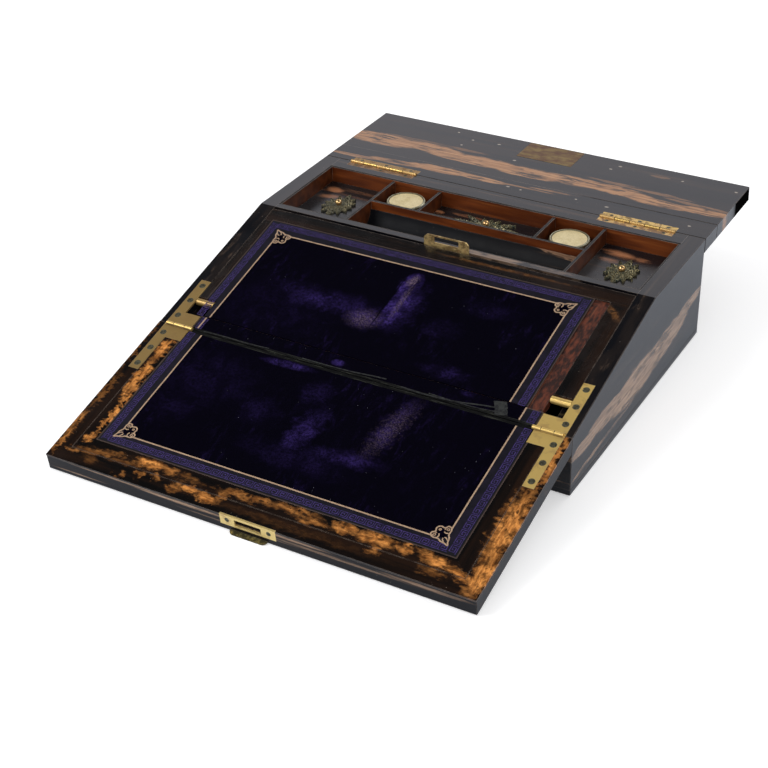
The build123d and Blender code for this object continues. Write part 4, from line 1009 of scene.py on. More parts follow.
PLATE = {"bright": (0.86, 0.60, 0.19), "dull": (0.58, 0.385, 0.115), "gloss": (0.34, 0.48), "metallic": 0.62,
         "pits": 0.0, "edge": 0.75, "blush": (0.56, 0.35, 0.14), "left": (0.34, 0.215, 0.078), "scale": 0.05}
BRASS = Metal("brass", **PLATE)
HINGE_BRASS = Metal("hinge_brass", joints=(164.25, 175.25), knuckle=-137.5, **PLATE)
LOCK_BRASS = Metal(
    "lock_brass", bright=(0.93, 0.71, 0.28), dull=(0.64, 0.47, 0.16), gloss=(0.32, 0.46), metallic=0.7,
    tarnish=0.3, pits=0.0, edge=0.9, scale=0.08)
BUTT_JOINTS, BUTT_PIN = (106.5, 120.5, 134.5, 148.5), 137.65
BUTT_BRASS = Metal(
    "butt_brass", bright=(0.80, 0.54, 0.17), dull=(0.30, 0.20, 0.075), tarnish=0.6, pits=0.5,
    crust_and_shade=(0.03, 0.017, 0.008), metallic=0.8, gloss=(0.25, 0.5), edge=0.3, left=(0.28, 0.155, 0.055),
    joints=BUTT_JOINTS, knuckle=BUTT_PIN)
BOX_BUTT_BRASS = Metal(
    "box_butt_brass", bright=(0.72, 0.47, 0.17), dull=(0.30, 0.18, 0.10), tarnish=0.8,
    crust_and_shade=(0.04, 0.02, 0.012), metallic=0.75, blush=(0.34, 0.17, 0.11), edge=0.3, pits=0.6,
    left=(0.22, 0.12, 0.06), joints=BUTT_JOINTS, knuckle=BUTT_PIN)
LOOP_BRASS = Metal(
    "loop_brass", bright=(0.62, 0.44, 0.18), dull=(0.22, 0.145, 0.055), tarnish=0.8, metallic=0.7,
    gloss=(0.34, 0.55), edge=0.95, blush=(0.30, 0.13, 0.05), pits=0.1)
OLD_BRASS = Metal(
    "old_brass", bright=(0.20, 0.17, 0.065), dull=(0.05, 0.045, 0.02), tarnish=0.85, metallic=0.8,
    gloss=(0.4, 0.6), blush=(0.10, 0.07, 0.03), pits=0.0)
CAP_BRASS = Metal(
    "cap_brass", bright=(0.46, 0.44, 0.30), dull=(0.22, 0.20, 0.12), tarnish=0.5, metallic=0.7, pits=0.2)
LID_BRASS = Plain(
    "lid_brass", (0.115, 0.050, 0.027), (0.25, 0.175, 0.078), 0.14, (0.5, 0.66), 0.35, 0.00003,
    drawn=(0.5, 1.0, 1.0))
VERDIGRIS = Metal(
    "verdigris_brass", bright=(0.36, 0.30, 0.155), dull=(0.030, 0.045, 0.040), crust_and_shade=(0.005, 0.008, 0.007),
    tarnish=0.9, scale=0.6, gloss=(0.24, 0.6), metallic=0.75, blush=(0.11, 0.17, 0.155), edge=0.8, pits=0.9,
    left=(0.115, 0.115, 0.09))
BEAD_BRASS = Metal(
    "bead_brass", bright=(0.72, 0.47, 0.20), dull=(0.34, 0.19, 0.08), tarnish=0.5, scale=0.3,
    gloss=(0.2, 0.36), metallic=0.85)
SCREW_STEEL = Metal(
    "screw_steel", bright=(0.15, 0.15, 0.10), dull=(0.05, 0.048, 0.03), crust_and_shade=(0.015, 0.012, 0.008),
    tarnish=0.7, scale=0.5, gloss=(0.4, 0.6), edge=0.8, metallic=0.7, blush=(0.10, 0.07, 0.05))
IRON = Plain("iron", (0.10, 0.09, 0.085), (0.05, 0.035, 0.028), 0.4, (0.4, 0.65), 1.0)
GOLD_LEAF = Plain("gold_leaf", (0.60, 0.42, 0.27), (0.34, 0.22, 0.15), 0.7, (0.42, 0.6), 0.35, 0.00005)
KEY_LINE = Plain("key_line", (0.050, 0.030, 0.150), (0.014, 0.0085, 0.044), 0.4, (0.5, 0.7), 0.0, 0.00004, 0.2)
# The torn cloth's second colour paints light streaks along it: painted highlights on the crests of the crumpled
# cloth.
TORN_CLOTH = Plain(
    "torn_cloth", (0.0013, 0.0014, 0.0015), (0.034, 0.036, 0.028), 1.0, (0.75, 0.95), 0.0, 0.0002, 0.12,
    (0.05, 0.9, 0.9), (0.52, 0.66))
TORN_HIDE = Plain(
    "torn_hide", (0.026, 0.028, 0.026), (0.006, 0.006, 0.008), 0.3, (0.55, 0.8), 0.0, 0.0003, 0.25)
IVORY = Crackled("ivory")
GLASS = Clear("glass")

PANEL_VELVET = Pile(
    "velvet_panel",
    patches=laid(
        (-6.5, 110, 17, 10, 89, 1, 2.5, 0.75), (-6, 84, 28, 9.5, 88, 1, 3, 0.75),
        (2, 86, 16, 36, 0, 0.6, 12, 0), (-62, 70, 44, 15, 8, 0.7, 18, 0),
        (-26, 63, 22, 16, 0, 0.7, 12, 0), (-95, 73, 34, 14, 0, 0.3, 18, 0),
        (-105, 50, 70, 40, 0, 0.1, 24, 0), (43, 72, 20, 14, 0, 0.25, 14, 0),
        (70, 106, 30, 12, 0, 0.16, 14, 0), (68, 29, 26, 8, 0, 0.35, 12, 0)),
    bald_patches=laid(
        (-7.7, 117, 5, 9, -14, 0.9, 3, 0.3), (-5, 92, 3.4, 28, 0, 0.5, 3, 0.2),
        (-25, 62, 19, 13, 10, 0.5, 7, 0)),
    creases=laid(
        (-15.6, 88, 34, 0.8, 89, 0.9, 1.2), (-4, 110, 16, 0.5, 84, 0.6, 1)))
FOLD_VELVET = Pile(
    "velvet_fold",
    patches=laid(
        (-19.4, 8.5, 7, 4, 0, 1, 2, 0.3), (95, 14, 8, 4, 0, 0.3, 3, 0)))
FLAP_VELVET = Pile(
    "velvet_flap",
    patches=laid(
        (-57, -7.5, 28, 4.5, 2, 0.8, 3, 0.3), (-112, -44, 52, 38, 0, 0.15, 26, 0),
        (-122, -78, 30, 26, 0, 0.12, 20, 0), (-52, -62, 24, 18, 0, 0.16, 18, 0),
        (-8, -66, 14, 34, -8, 0.7, 14, 0), (-17, -28, 16, 16, 0, 0.35, 14, 0),
        (38, -80, 36, 10, 4, 0.6, 14, 0), (56, -42, 42, 13, 81, 0.5, 12, 0),
        (0, -95, 60, 16, 0, 0.2, 16, 0)),
    bald_patches=laid(
        (56, -42, 40, 11, 78, 0.28, 16, 0)))


# ---- shapes ------------------------------------------------------------------------------
MERGE_DISTANCE = 0.0005


def slope_place() -> Matrix:
    """The matrix from the slope's own plane (across, up the slope, height) to the frame, in metres."""
    return Matrix.Translation(FOLD_LINE * MM) @ Matrix.Rotation(SLOPE_ANGLE, 4, "X") @ Matrix.Scale(MM, 4)


def level_place(x: float, y: float, z: float, turn: float = 0.0) -> Matrix:
    """The matrix of a level piece, from millimetres in its own plane, turned by degrees, to the frame."""
    turned = Matrix.Rotation(math.radians(turn), 4, "Z")
    return Matrix.Translation(Vector((x, y, z)) * MM) @ turned @ Matrix.Scale(MM, 4)


class Shape:
    """A mesh in the making, in millimetres in its own plane.

    Attributes:
        mesh: The mesh.
    """

    def __init__(self) -> None:
        """Start with an empty mesh."""
        self.mesh = bmesh.new()

    def grid(self, xs: Sequence[float], ys: Sequence[float]) -> list[bmesh.types.BMFace]:
        """A flat grid whose lines lie at the given places.

        Args:
            xs: Places across, in order.
            ys: Places along, in order.

        Returns:
            The new faces.
        """
        columns, rows = len(xs) - 1, len(ys) - 1
        made = bmesh.ops.create_grid(self.mesh, x_segments=columns, y_segments=rows, size=1.0)["verts"]
        for vert in made:
            column = round((vert.co.x + 1.0) / 2.0 * columns)
            row = round((vert.co.y + 1.0) / 2.0 * rows)
            vert.co = (xs[column], ys[row], 0.0)
        return list({face for vert in made for face in vert.link_faces})

    def thicken(self, faces: Sequence[bmesh.types.BMFace], base: float, top: Callable[[Vector], float]) -> None:
        """Give a flat patch of faces a floor and a shaped top.

        Args:
            faces: The patch.
            base: Height of its floor.
            top: Height of its top at each place.
        """
        made = bmesh.ops.extrude_face_region(self.mesh, geom=list(faces), use_keep_orig=True)["geom"]
        upper = {item for item in made if isinstance(item, bmesh.types.BMVert)}
        lower = {vert for face in faces if face.is_valid for vert in face.verts} - upper
        for vert in upper:
            vert.co.z = top(vert.co)
        for vert in lower:
            vert.co.z = base
        bmesh.ops.recalc_face_normals(self.mesh, faces=self.mesh.faces)

    def ribbon(self, points: Sequence[Point], width: float, base: float, top: float,
               closed: bool = False) -> None:
        """A flat strip along a line, with mitred corners.

        Args:
            points: The line's points.
            width: The strip's width.
            base: Height of its underside.
            top: Height of its face.
            closed: Whether the line's end joins its start.
        """
        line = [self.mesh.verts.new((x, y, base)) for x, y in points]
        count = len(line)
        pairs = [(i, (i + 1) % count) for i in range(count if closed else count - 1)]
        edges = [self.mesh.edges.new((line[i], line[j])) for i, j in pairs]
        sides = []
        for i, vert in enumerate(line):
            before = line[i - 1] if closed or i > 0 else vert
            after = line[(i + 1) % count] if closed or i < count - 1 else vert
            sides.append(mitre(before.co, vert.co, after.co) * (width / 2.0))
        made = bmesh.ops.extrude_edge_only(self.mesh, edges=edges)["geom"]
        across = [item for item in made if isinstance(item, bmesh.types.BMVert)]
        strip = [item for item in made if isinstance(item, bmesh.types.BMFace)]
        where = {vert.co.to_tuple(4): side for vert, side in zip(line, sides)}
        for vert in across:
            vert.co += where[vert.co.to_tuple(4)]
        for vert, side in zip(line, sides):
            vert.co -= side
        risen = bmesh.ops.extrude_face_region(self.mesh, geom=strip, use_keep_orig=True)["geom"]
        bmesh.ops.translate(self.mesh, verts=[v for v in risen if isinstance(v, bmesh.types.BMVert)],
                            vec=(0.0, 0.0, top - base))

    def turned(self, profile: Sequence[Point], steps: int = 32) -> None:
        """A ring or knob turned about the vertical.

        Args:
            profile: Distance from the axis and height, in order, round its closed section.
            steps: Facets round it.
        """
        line = [self.mesh.verts.new((r, 0.0, z)) for r, z in profile]
        edges = [self.mesh.edges.new(pair) for pair in zip(line, line[1:] + line[:1])]
        bmesh.ops.spin(self.mesh, geom=line + edges, cent=(0, 0, 0), axis=(0, 0, 1), angle=math.tau,
                       steps=steps, use_merge=True, use_duplicate=False)

    def finish(self, name: str, place: Matrix, finish: Finish, body: str, slot: str,
               replaces: Sequence[str] = (), smooth: float = 35.0) -> bpy.types.Object:
        """End the mesh as one object that rides on a body.

        Args:
            name: The piece's name.
            place: From the shape's plane to the frame.
            finish: Its finish.
            body: The body that it moves with.
            slot: A slot of the record; not used.
            replaces: The nodes that it stands for.
            smooth: Edges that bend less than this many degrees are shaded smooth.

        Returns:
            The new object.
        """
        bmesh.ops.remove_doubles(self.mesh, verts=self.mesh.verts, dist=MERGE_DISTANCE)
        bmesh.ops.recalc_face_normals(self.mesh, faces=self.mesh.faces)
        bmesh.ops.transform(self.mesh, matrix=place, verts=self.mesh.verts)
        data = bpy.data.meshes.new(name)
        self.mesh.to_mesh(data)
        self.mesh.free()
        data.polygons.foreach_set("use_smooth", [True] * len(data.polygons))
        data.set_sharp_from_angle(angle=math.radians(smooth))
        data.materials.append(finish.material())
        piece = bpy.data.objects.new(name, data)
        bpy.context.scene.collection.objects.link(piece)
        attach(piece, body)
        if replaces:
            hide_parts(*replaces)
        LOG.info("%s: %d faces, on %s", name, len(data.polygons), body)
        return piece


def mitre(before: Vector, here: Vector, after: Vector) -> Vector:
    """How far a strip's side stands off its line at a corner, for a half width of 1.

    Args:
        before, here, after: Three points of the line.

    Returns:
        The offset to the left.
    """
    normals = []
    for start, end in ((before, here), (here, after)):
        run = end - start
        if run.length > 1e-9:
            normals.append(Vector((-run.y, run.x, 0.0)).normalized())
    total = sum(normals, Vector())
    return total / max(1.0 + normals[0].dot(normals[-1]), 0.3) if len(normals) == 2 else normals[0]


def spaced(start: float, end: float, step: float) -> list[float]:
    """Even places from start to end, about step apart."""
    count = max(1, round(abs(end - start) / step))
    return [start + (end - start) * i / count for i in range(count + 1)]


def steps_round(count: int) -> list[float]:
    """Angles evenly round a circle."""
    return [math.tau * i / count for i in range(count)]


def circle(radius: float, middle: Point = (0.0, 0.0), count: int = 8) -> list[Point]:
    """Points evenly round a circle."""
    return [(middle[0] + radius * math.cos(a), middle[1] + radius * math.sin(a)) for a in steps_round(count)]


@dataclass
class Dressed:
    """A sub-assembly whose nodes keep the frame's shape and take finishes.

    Attributes:
        finishes: The finish of each node.
    """

    finishes: dict[str, Finish] = field(default_factory=dict)

    def build(self) -> None:
        """Give the nodes their finishes."""
        for node, finish in self.finishes.items():
            for place in NODES[node].material_slots:
                place.material = finish.material()
            LOG.info("%s: %s", node, finish.name)


# ---- writing surface ---------------------------------------------------------------------
@dataclass
class WritingSurface:
    """Leather, velvet and gold on one leaf of the writing surface, laid out in the slope's plane.

    Attributes:
        name: The leaf's name in the nodes.
        body: The body that it moves with.
        rests_on: The node under it; not used.
        leather: Left, right, fold-side end and outer end of the leather.
        lines: Left and right gold line, and the gold line at the outer end, or None.
        velvet_finish: The velvet's finish.
        notch: Its cut corners at the fold: how far out from the middle and how far from the hinge line.
        face, floor: Heights of the leather's top and underside.
        velvet_floor: Height of the leather where it is pressed down under the velvet.
        leather_step, velvet_bed_step: How far apart the leather's lines lie at its sides and under the velvet.
        press_gap: Width of the steep side of that pressing.
        line_width: Width of the gold line.
        corner_gap: How much of the gold line an ornament takes up at each corner.
        line_rise, ornament_rise, key_rise: How far each stands over the leather or the line.
        sunk: How far all three start below the leather's top.
        key_inset, key_height: Where the key border starts, and its width.
        key_pitch: Length of one key.
        key_stroke: Width of its strips.
        key_corner: Space left where two runs of the border meet.
        pile_step: How far apart the velvet's lines lie.
        pile_edge: How far in from its edges the pile comes to its full unevenness.
        pile_rise: The most that the pile stands over the leather.
    """

    name: str
    body: str
    rests_on: str
    leather: Box
    lines: tuple[float, float, Optional[float]]
    velvet_finish: Pile
    notch: Optional[Point] = None
    face: float = -0.15
    floor: float = -1.2
    velvet_floor: float = -1.05
    leather_step: float = 4.0
    velvet_bed_step: float = 12.0
    press_gap: float = 0.03
    line_width: float = 1.25
    corner_gap: float = 10.2
    line_rise: float = 0.05
    ornament_rise: float = 0.03
    key_rise: float = 0.035
    sunk: float = 0.1
    key_inset: float = 2.8
    key_height: float = 5.4
    key_pitch: float = 7.6
    key_stroke: float = 0.72
    key_corner: float = 1.0
    pile_step: float = 3.0
    pile_edge: float = 6.0
    pile_rise: float = 0.08

    def velvet_box(self) -> Box:
        """Left, right, fold-side end and outer end of the velvet.

        Returns:
            The four places.
        """
        left, right, end = self.lines
        half = self.line_width / 2.0
        fold, outer = self.leather[2], self.leather[3]
        if end is None:
            return left + half, right - half, fold, outer
        return left + half, right - half, fold, end - math.copysign(half, end)

    def lay_leather(self) -> bpy.types.Object:
        """The leather: one skin, pressed down where the velvet lies on it.

        Returns:
            The piece.
        """
        left, right, fold, outer = self.leather
        velvet = self.velvet_box()
        step, gap = self.leather_step, self.press_gap
        pressed = (velvet[0] + gap, velvet[1] - gap)
        xs = {*spaced(left, velvet[0], step), *pressed, *spaced(velvet[1], right, step)}
        low, high = sorted((fold, velvet[3] - math.copysign(gap, outer)))
        beyond = spaced(velvet[3], outer, step) if abs(velvet[3] - outer) > 1e-6 else []
        ys = {*spaced(low, high, self.velvet_bed_step), *beyond}
        if self.notch:
            xs |= {-self.notch[0], self.notch[0]}
            ys.add(self.notch[1])
        shape = Shape()
        faces = shape.grid([x for x in sorted(xs) if left <= x <= right], sorted(ys))
        if self.notch:
            cut = [f for f in faces if abs(f.calc_center_median().x) > self.notch[0]
                   and abs(f.calc_center_median().y) < abs(self.notch[1])]
            bmesh.ops.delete(shape.mesh, geom=cut, context="FACES")
            faces = list(shape.mesh.faces)

        def skin(at: Vector) -> float:
            """Height of the leather's top, lower under the velvet."""
            under = velvet[0] + gap / 2 < at.x < velvet[1] - gap / 2 and low - 1e-4 <= at.y <= high + 1e-4
            return self.velvet_floor if under else self.face

        shape.thicken(faces, self.floor, skin)
        hide = Hide(f"leather_{self.name}", reach=(left, right, outer), end_sign=math.copysign(1.0, outer))
        piece = shape.finish(f"{self.name}_leather_skin", slope_place(), hide, self.body, "leather",
                             [f"{self.name}_leather"])
        return piece

    def lay_velvet(self) -> bpy.types.Object:
        """The velvet, with the shallow unevenness of an old pile.

        Returns:
            The piece.
        """
        left, right, fold, outer = self.velvet_box()
        shape = Shape()
        faces = shape.grid(spaced(left, right, self.pile_step),
                           spaced(min(fold, outer), max(fold, outer), self.pile_step))

        def pile(at: Vector) -> float:
            """Height of the pile, kept flush along its edges.

            Args:
                at: A point of the velvet.

            Returns:
                The height.
            """
            inset = min(at.x - left, right - at.x, abs(at.y - outer))
            wave = noise.noise(Vector((at.x * 0.03, at.y * 0.045, 2.0))) * 0.16
            wave += noise.noise(Vector((at.x * 0.11, at.y * 0.09, 7.0))) * 0.08
            return self.face + min(self.pile_rise, wave) * min(1.0, max(0.0, inset / self.pile_edge))

        shape.thicken(faces, self.velvet_floor + 0.02, pile)
        piece = shape.finish(f"{self.name}_velvet_pile", slope_place(), self.velvet_finish, self.body, "velvet",
                             [f"{self.name}_velvet"])
        return piece

    def rule_gold(self) -> bpy.types.Object:
        """The gold line round the velvet, with an ornament at each outer corner.

        Returns:
            The piece.
        """
        left, right, end = self.lines
        fold, outer = self.leather[2], self.leather[3]
        shape = Shape()
        base, top = self.face - self.sunk, self.face + self.line_rise
        stop = outer if end is None else end - math.copysign(self.corner_gap, end)
        runs = [((x, fold), (x, stop)) for x in (left, right)]
        if end is not None:
            runs.append(((left + self.corner_gap, end), (right - self.corner_gap, end)))
        for run in runs:
            shape.ribbon(wavering(*run), self.line_width, base, top)
        if end is not None:
            for x in (left, right):
                outward = (math.copysign(1.0, x), math.copysign(1.0, end))
                corner_ornament(shape, (x, end), outward, base, top + self.ornament_rise)
        return shape.finish(f"{self.name}_gold", slope_place(), GOLD_LEAF, self.body, "leather")

    def key_run(self, shape: Shape, origin: Point, along: Point, inward: Point, length: float) -> None:
        """One straight run of the key border.

        Args:
            shape: Takes the strips.
            origin: Where the run starts, on its outer side.
            along: Direction of the run.
            inward: Direction away from the outer side.
            length: Length of the run.
        """
        if length < self.key_pitch:
            return
        count = round(length / self.key_pitch)
        pitch, high = length / count, self.key_height
        base, top = self.face - self.sunk, self.face + self.key_rise

        def at(s: float, t: float) -> Point:
            """A point of the run, from its distance along and across."""
            return (origin[0] + along[0] * s + inward[0] * t, origin[1] + along[1] * s + inward[1] * t)

        for i in range(count):
            s = i * pitch
            shape.ribbon([at(s + a * pitch, b * high) for a, b in KEY_HOOK], self.key_stroke, base, top)
            shape.ribbon([at(s, 0.0), at(s + pitch, 0.0)], self.key_stroke * KEY_RULE_SHARE, base, top)

    def tool_key(self) -> bpy.types.Object:
        """The key border between the gold line and the outer edge.

        Returns:
            The piece.
        """
        left, right, fold, outer = self.leather
        ended = self.lines[2] is not None
        sign = math.copysign(1.0, outer)
        shape = Shape()
        inset = self.key_inset
        stop = outer - sign * inset if ended else outer
        run = stop - fold
        away = math.copysign(1.0, run)
        for x, inward in ((left, 1.0), (right, -1.0)):
            self.key_run(shape, (x + inward * inset, fold), (0.0, away), (inward, 0.0), abs(run))
        if ended:
            corner = inset + self.key_height + self.key_corner
            self.key_run(shape, (left + corner, stop), (1.0, 0.0), (0.0, -sign), right - left - 2 * corner)
        return shape.finish(f"{self.name}_key", slope_place(), KEY_LINE, self.body, "leather")

    def build(self) -> None:
        """Make every piece of this leaf's writing surface."""
        self.lay_leather()
        self.lay_velvet()
        self.rule_gold()
        self.tool_key()


def wavering(start: Point, end: Point, step: float = 9.0, sway: float = 0.22) -> list[Point]:
    """A hand-ruled line that wavers a little.

    Args:
        start, end: Its ends.
        step: Distance between its points.
        sway: How far it strays.

    Returns:
        Its points.
    """
    run = Vector((end[0] - start[0], end[1] - start[1]))
    side = Vector((-run.y, run.x)).normalized()
    points = []
    for share in spaced(0.0, 1.0, step / run.length):
        at = Vector(start) + run * share
        off = noise.noise(Vector((at.x * 0.05, at.y * 0.05, 11.0))) * sway * math.sin(math.pi * share)
        points.append((at.x + side.x * off, at.y + side.y * off))
    return points


# One hook of the key, in shares of its pitch and height, and how wide its rule is beside its hook.
KEY_HOOK = ((0.0, 0.0), (0.0, 1.0), (0.8, 1.0), (0.8, 0.26), (0.24, 0.26), (0.24, 0.72), (0.56, 0.72),
            (0.56, 0.5))
KEY_RULE_SHARE = 0.9


def smooth_line(points: Sequence[Point], steps: int = 4) -> list[Point]:
    """An open smooth curve through the given points, with so many steps between two of them."""
    held = [points[0], *points, points[-1]]
    return smooth_loop(held, steps)[steps:-2 * steps + 1]


def smooth_loop(points: Sequence[Point], steps: int = 4) -> list[Point]:
    """A closed smooth curve through the given points.

    Args:
        points: The points in order.
        steps: Pieces between two of them.

    Returns:
        The curve's points.
    """
    curve = []
    count = len(points)
    for i in range(count):
        a, b, c, d = (Vector(points[(i + k - 1) % count]) for k in range(4))
        for step in range(steps):
            t = step / steps
            at = 0.5 * ((2 * b) + (c - a) * t + (2 * a - 5 * b + 4 * c - d) * t * t
                        + (3 * b - 3 * c + d - a) * t ** 3)
            curve.append((at.x, at.y))
    return curve


# The corner ornament, in millimetres outward and sideways from its middle: its tip and heel, one side
# of its outline, and the veins of one side. It sits inside the corner by ORNAMENT_SIT.
ORNAMENT_TIP, ORNAMENT_HEEL = (11.3, 0.0), (-7.9, 0.0)
ORNAMENT_SIDE = ((8.6, 1.3), (5.6, 3.4), (2.9, 4.0), (1.2, 5.4), (-0.6, 7.3), (-3.2, 7.9), (-5.0, 6.4),
                 (-4.6, 4.4), (-5.4, 3.0), (-7.2, 2.0))
ORNAMENT_VEINS = (((7.2, 1.6), (4.6, 1.5), (3.4, 0.6)), ((1.2, 4.4), (0.2, 2.6), (-1.6, 2.0)),
                  ((-4.4, 4.2), (-2.9, 3.2)))
ORNAMENT_OUTLINE_WIDTH, ORNAMENT_VEIN_WIDTH, ORNAMENT_RING_WIDTH = 1.15, 0.9, 0.7
ORNAMENT_SIT = (4.3, 3.6)


def corner_ornament(shape: Shape, corner: Point, outward: Point, base: float, top: float) -> None:
    """A leaf outline over a corner of the gold line: a point outward and three round lobes inward.

    Args:
        shape: Takes the strips.
        corner: Where the gold lines meet.
        outward: Signs of the direction out of the corner.
        base, top: Heights of the strips.
    """
    spin = math.atan2(outward[1], outward[0])
    middle = (corner[0] - outward[0] * ORNAMENT_SIT[0], corner[1] - outward[1] * ORNAMENT_SIT[1])

    def strip(points: Iterable[Point], width: float, closed: bool = False) -> None:
        """Lay a strip through points given outward and sideways.

        Args:
            points: The points.
            width: The strip's width.
            closed: Whether its end joins its start.
        """
        placed = [(middle[0] + out * math.cos(spin) - side * math.sin(spin),
                   middle[1] + out * math.sin(spin) + side * math.cos(spin)) for out, side in points]
        shape.ribbon(placed, width, base, top, closed)

    other_side = ((out, -side) for out, side in reversed(ORNAMENT_SIDE))
    outline = (ORNAMENT_TIP, *ORNAMENT_SIDE, ORNAMENT_HEEL, *other_side)
    strip(smooth_loop(outline), ORNAMENT_OUTLINE_WIDTH, closed=True)
    for sign in (-1.0, 1.0):
        for vein in ORNAMENT_VEINS:
            strip([(out, sign * side) for out, side in vein], ORNAMENT_VEIN_WIDTH)
        strip(circle(1.0, (-2.2, sign * 5.4)), ORNAMENT_RING_WIDTH, closed=True)
    strip(circle(0.8, (-4.9, 0.0)), ORNAMENT_RING_WIDTH, closed=True)


@dataclass
class Fold:
    """The torn black cloth along the fold, and the flap of leather torn loose near its right end.

    Attributes:
        half: Half its length.
        near, far: Where the cloth runs, from the hinge line.
        ridge: How high it stands at the box's side.
        flap_ridge: How high it stands at the flap's side.
        floor: How deep the cloth reaches.
        cloth_steps: How far apart its lines lie along and across.
        patch: Corners of the torn leather: top left, top right, low right and low left.
        patch_floor: Height of its underside.
        patch_end: The furthest up the slope that it reaches.
        shreds: Points and width of each shred drawn out along the fold.
        shred_heights: Heights of a shred's underside and top.
    """

    half: float = 156.0
    near: float = 0.4
    far: float = 3.2
    ridge: float = 0.42
    flap_ridge: float = 0.1
    floor: float = -1.1
    cloth_steps: Point = (1.1, 0.35)
    patch: tuple[Point, Point, Point, Point] = ((117.8, 14.4), (127.6, 16.9), (134.4, 3.9), (124.6, 0.9))
    patch_floor: float = -0.12
    patch_end: float = 17.0
    shreds: tuple[tuple[tuple[Point, ...], float], ...] = (
        (((121.5, 8.2), (110.0, 6.6), (94.0, 3.6), (78.0, 2.0), (60.0, 1.5), (42.0, 2.2)), 1.2),
        (((123.5, 4.2), (104.0, 2.6), (82.0, 3.0), (66.0, 3.6)), 0.8),
        (((27.0, 5.6), (14.0, 4.9), (-2.0, 3.4), (-26.0, 2.6), (-50.0, 2.6)), 1.0),
        (((-82.0, 2.8), (-104.0, 1.6), (-126.0, 1.9), (-146.0, 1.2)), 0.9))
    shred_heights: Point = (-0.14, 0.38)

    def strip(self, name: str, node: str, body: str, sign: float, ridge: float) -> bpy.types.Object:
        """One side of the cloth.

        Args:
            name: The piece's name.
            node: The node it stands for.
            body: The body it moves with.
            sign: 1 up the slope, -1 on the flap.
            ridge: How high its frayed edge stands.

        Returns:
            The piece.
        """
        shape = Shape()
        along, across = self.cloth_steps
        faces = shape.grid(spaced(-self.half, self.half, along),
                           sorted(spaced(sign * self.near, sign * self.far, across)))

        def height(at: Vector) -> float:
            """Crumpled height, highest beside the hinge line.

            Args:
                at: A point of the cloth.

            Returns:
                The height.
            """
            away = min(1.0, max(0.0, (abs(at.y) - self.near) / (self.far - self.near)))
            crumple = noise.fractal(Vector((at.x * 0.21, at.y * 1.1, sign * 5.0)), 0.9, 2.0, 3)
            swell = 0.5 + 0.5 * noise.noise(Vector((at.x * 0.035, sign * 3.0, 0.0)))
            lift = ridge * (0.45 + 0.75 * swell) * (1.0 - away) ** 0.7
            return min(ridge, -0.15 + (lift + 0.15) * (0.8 + 0.5 * crumple) - 0.12 * away)

        shape.thicken(faces, self.floor, height)
        for vert in shape.mesh.verts:
            if abs(abs(vert.co.y) - self.far) < 1e-3:
                vert.co.y -= sign * 0.5 * abs(noise.noise(Vector((vert.co.x * 0.5, sign, 9.0))))
        piece = shape.finish(name, slope_place(), TORN_CLOTH, body, "cloth", [node], smooth=60.0)
        return piece

    def torn_patch(self) -> bpy.types.Object:
        """The scrap of leather that lies across the fixed strip, with shreds drawn out along the fold.

        Returns:
            The piece.
        """
        shape = Shape()
        faces = shape.grid(spaced(0.0, 1.0, 0.1), spaced(0.0, 1.0, 0.07))
        top_left, top_right, low_right, low_left = (Vector(p) for p in self.patch)
        for vert in shape.mesh.verts:
            s, t = vert.co.x, vert.co.y
            outer = abs(2 * s - 1) ** 4 + abs(2 * t - 1) ** 4
            fray = 0.9 * noise.noise(Vector((s * 7.0, t * 6.0, 1.0))) * outer
            at = low_left.lerp(low_right, s).lerp(top_left.lerp(top_right, s), t)
            vert.co.x, vert.co.y = at.x + fray, min(at.y + fray * 0.5, self.patch_end)
        shape.thicken(faces, self.patch_floor,
                      lambda at: 0.16 + 0.16 * noise.noise(Vector((at.x * 0.35, at.y * 0.3, 4.0))))
        for line, width in self.shreds:
            shape.ribbon(smooth_line(line), width, *self.shred_heights)
        piece = shape.finish("fold_torn_leather", slope_place(), TORN_HIDE, "box", "leather", smooth=60.0)
        return piece

    def build(self) -> None:
        """Make both strips and the torn scrap."""
        self.strip("fold_torn_cloth", "fold_cloth", "box", 1.0, self.ridge)
        self.strip("flap_torn_cloth", "flap_cloth", "flap", -1.0, self.flap_ridge)
        self.torn_patch()


# ---- mounts of the sunk lids -------------------------------------------------------------
@dataclass(frozen=True)
class Leaf:
    """One leaf of a mount.

    Attributes:
        turn: Its direction from the mount's long axis, in degrees.
        reach: Its tip's distance from the middle.
        half: Its half width.
    """

    turn: float
    reach: float
    half: float


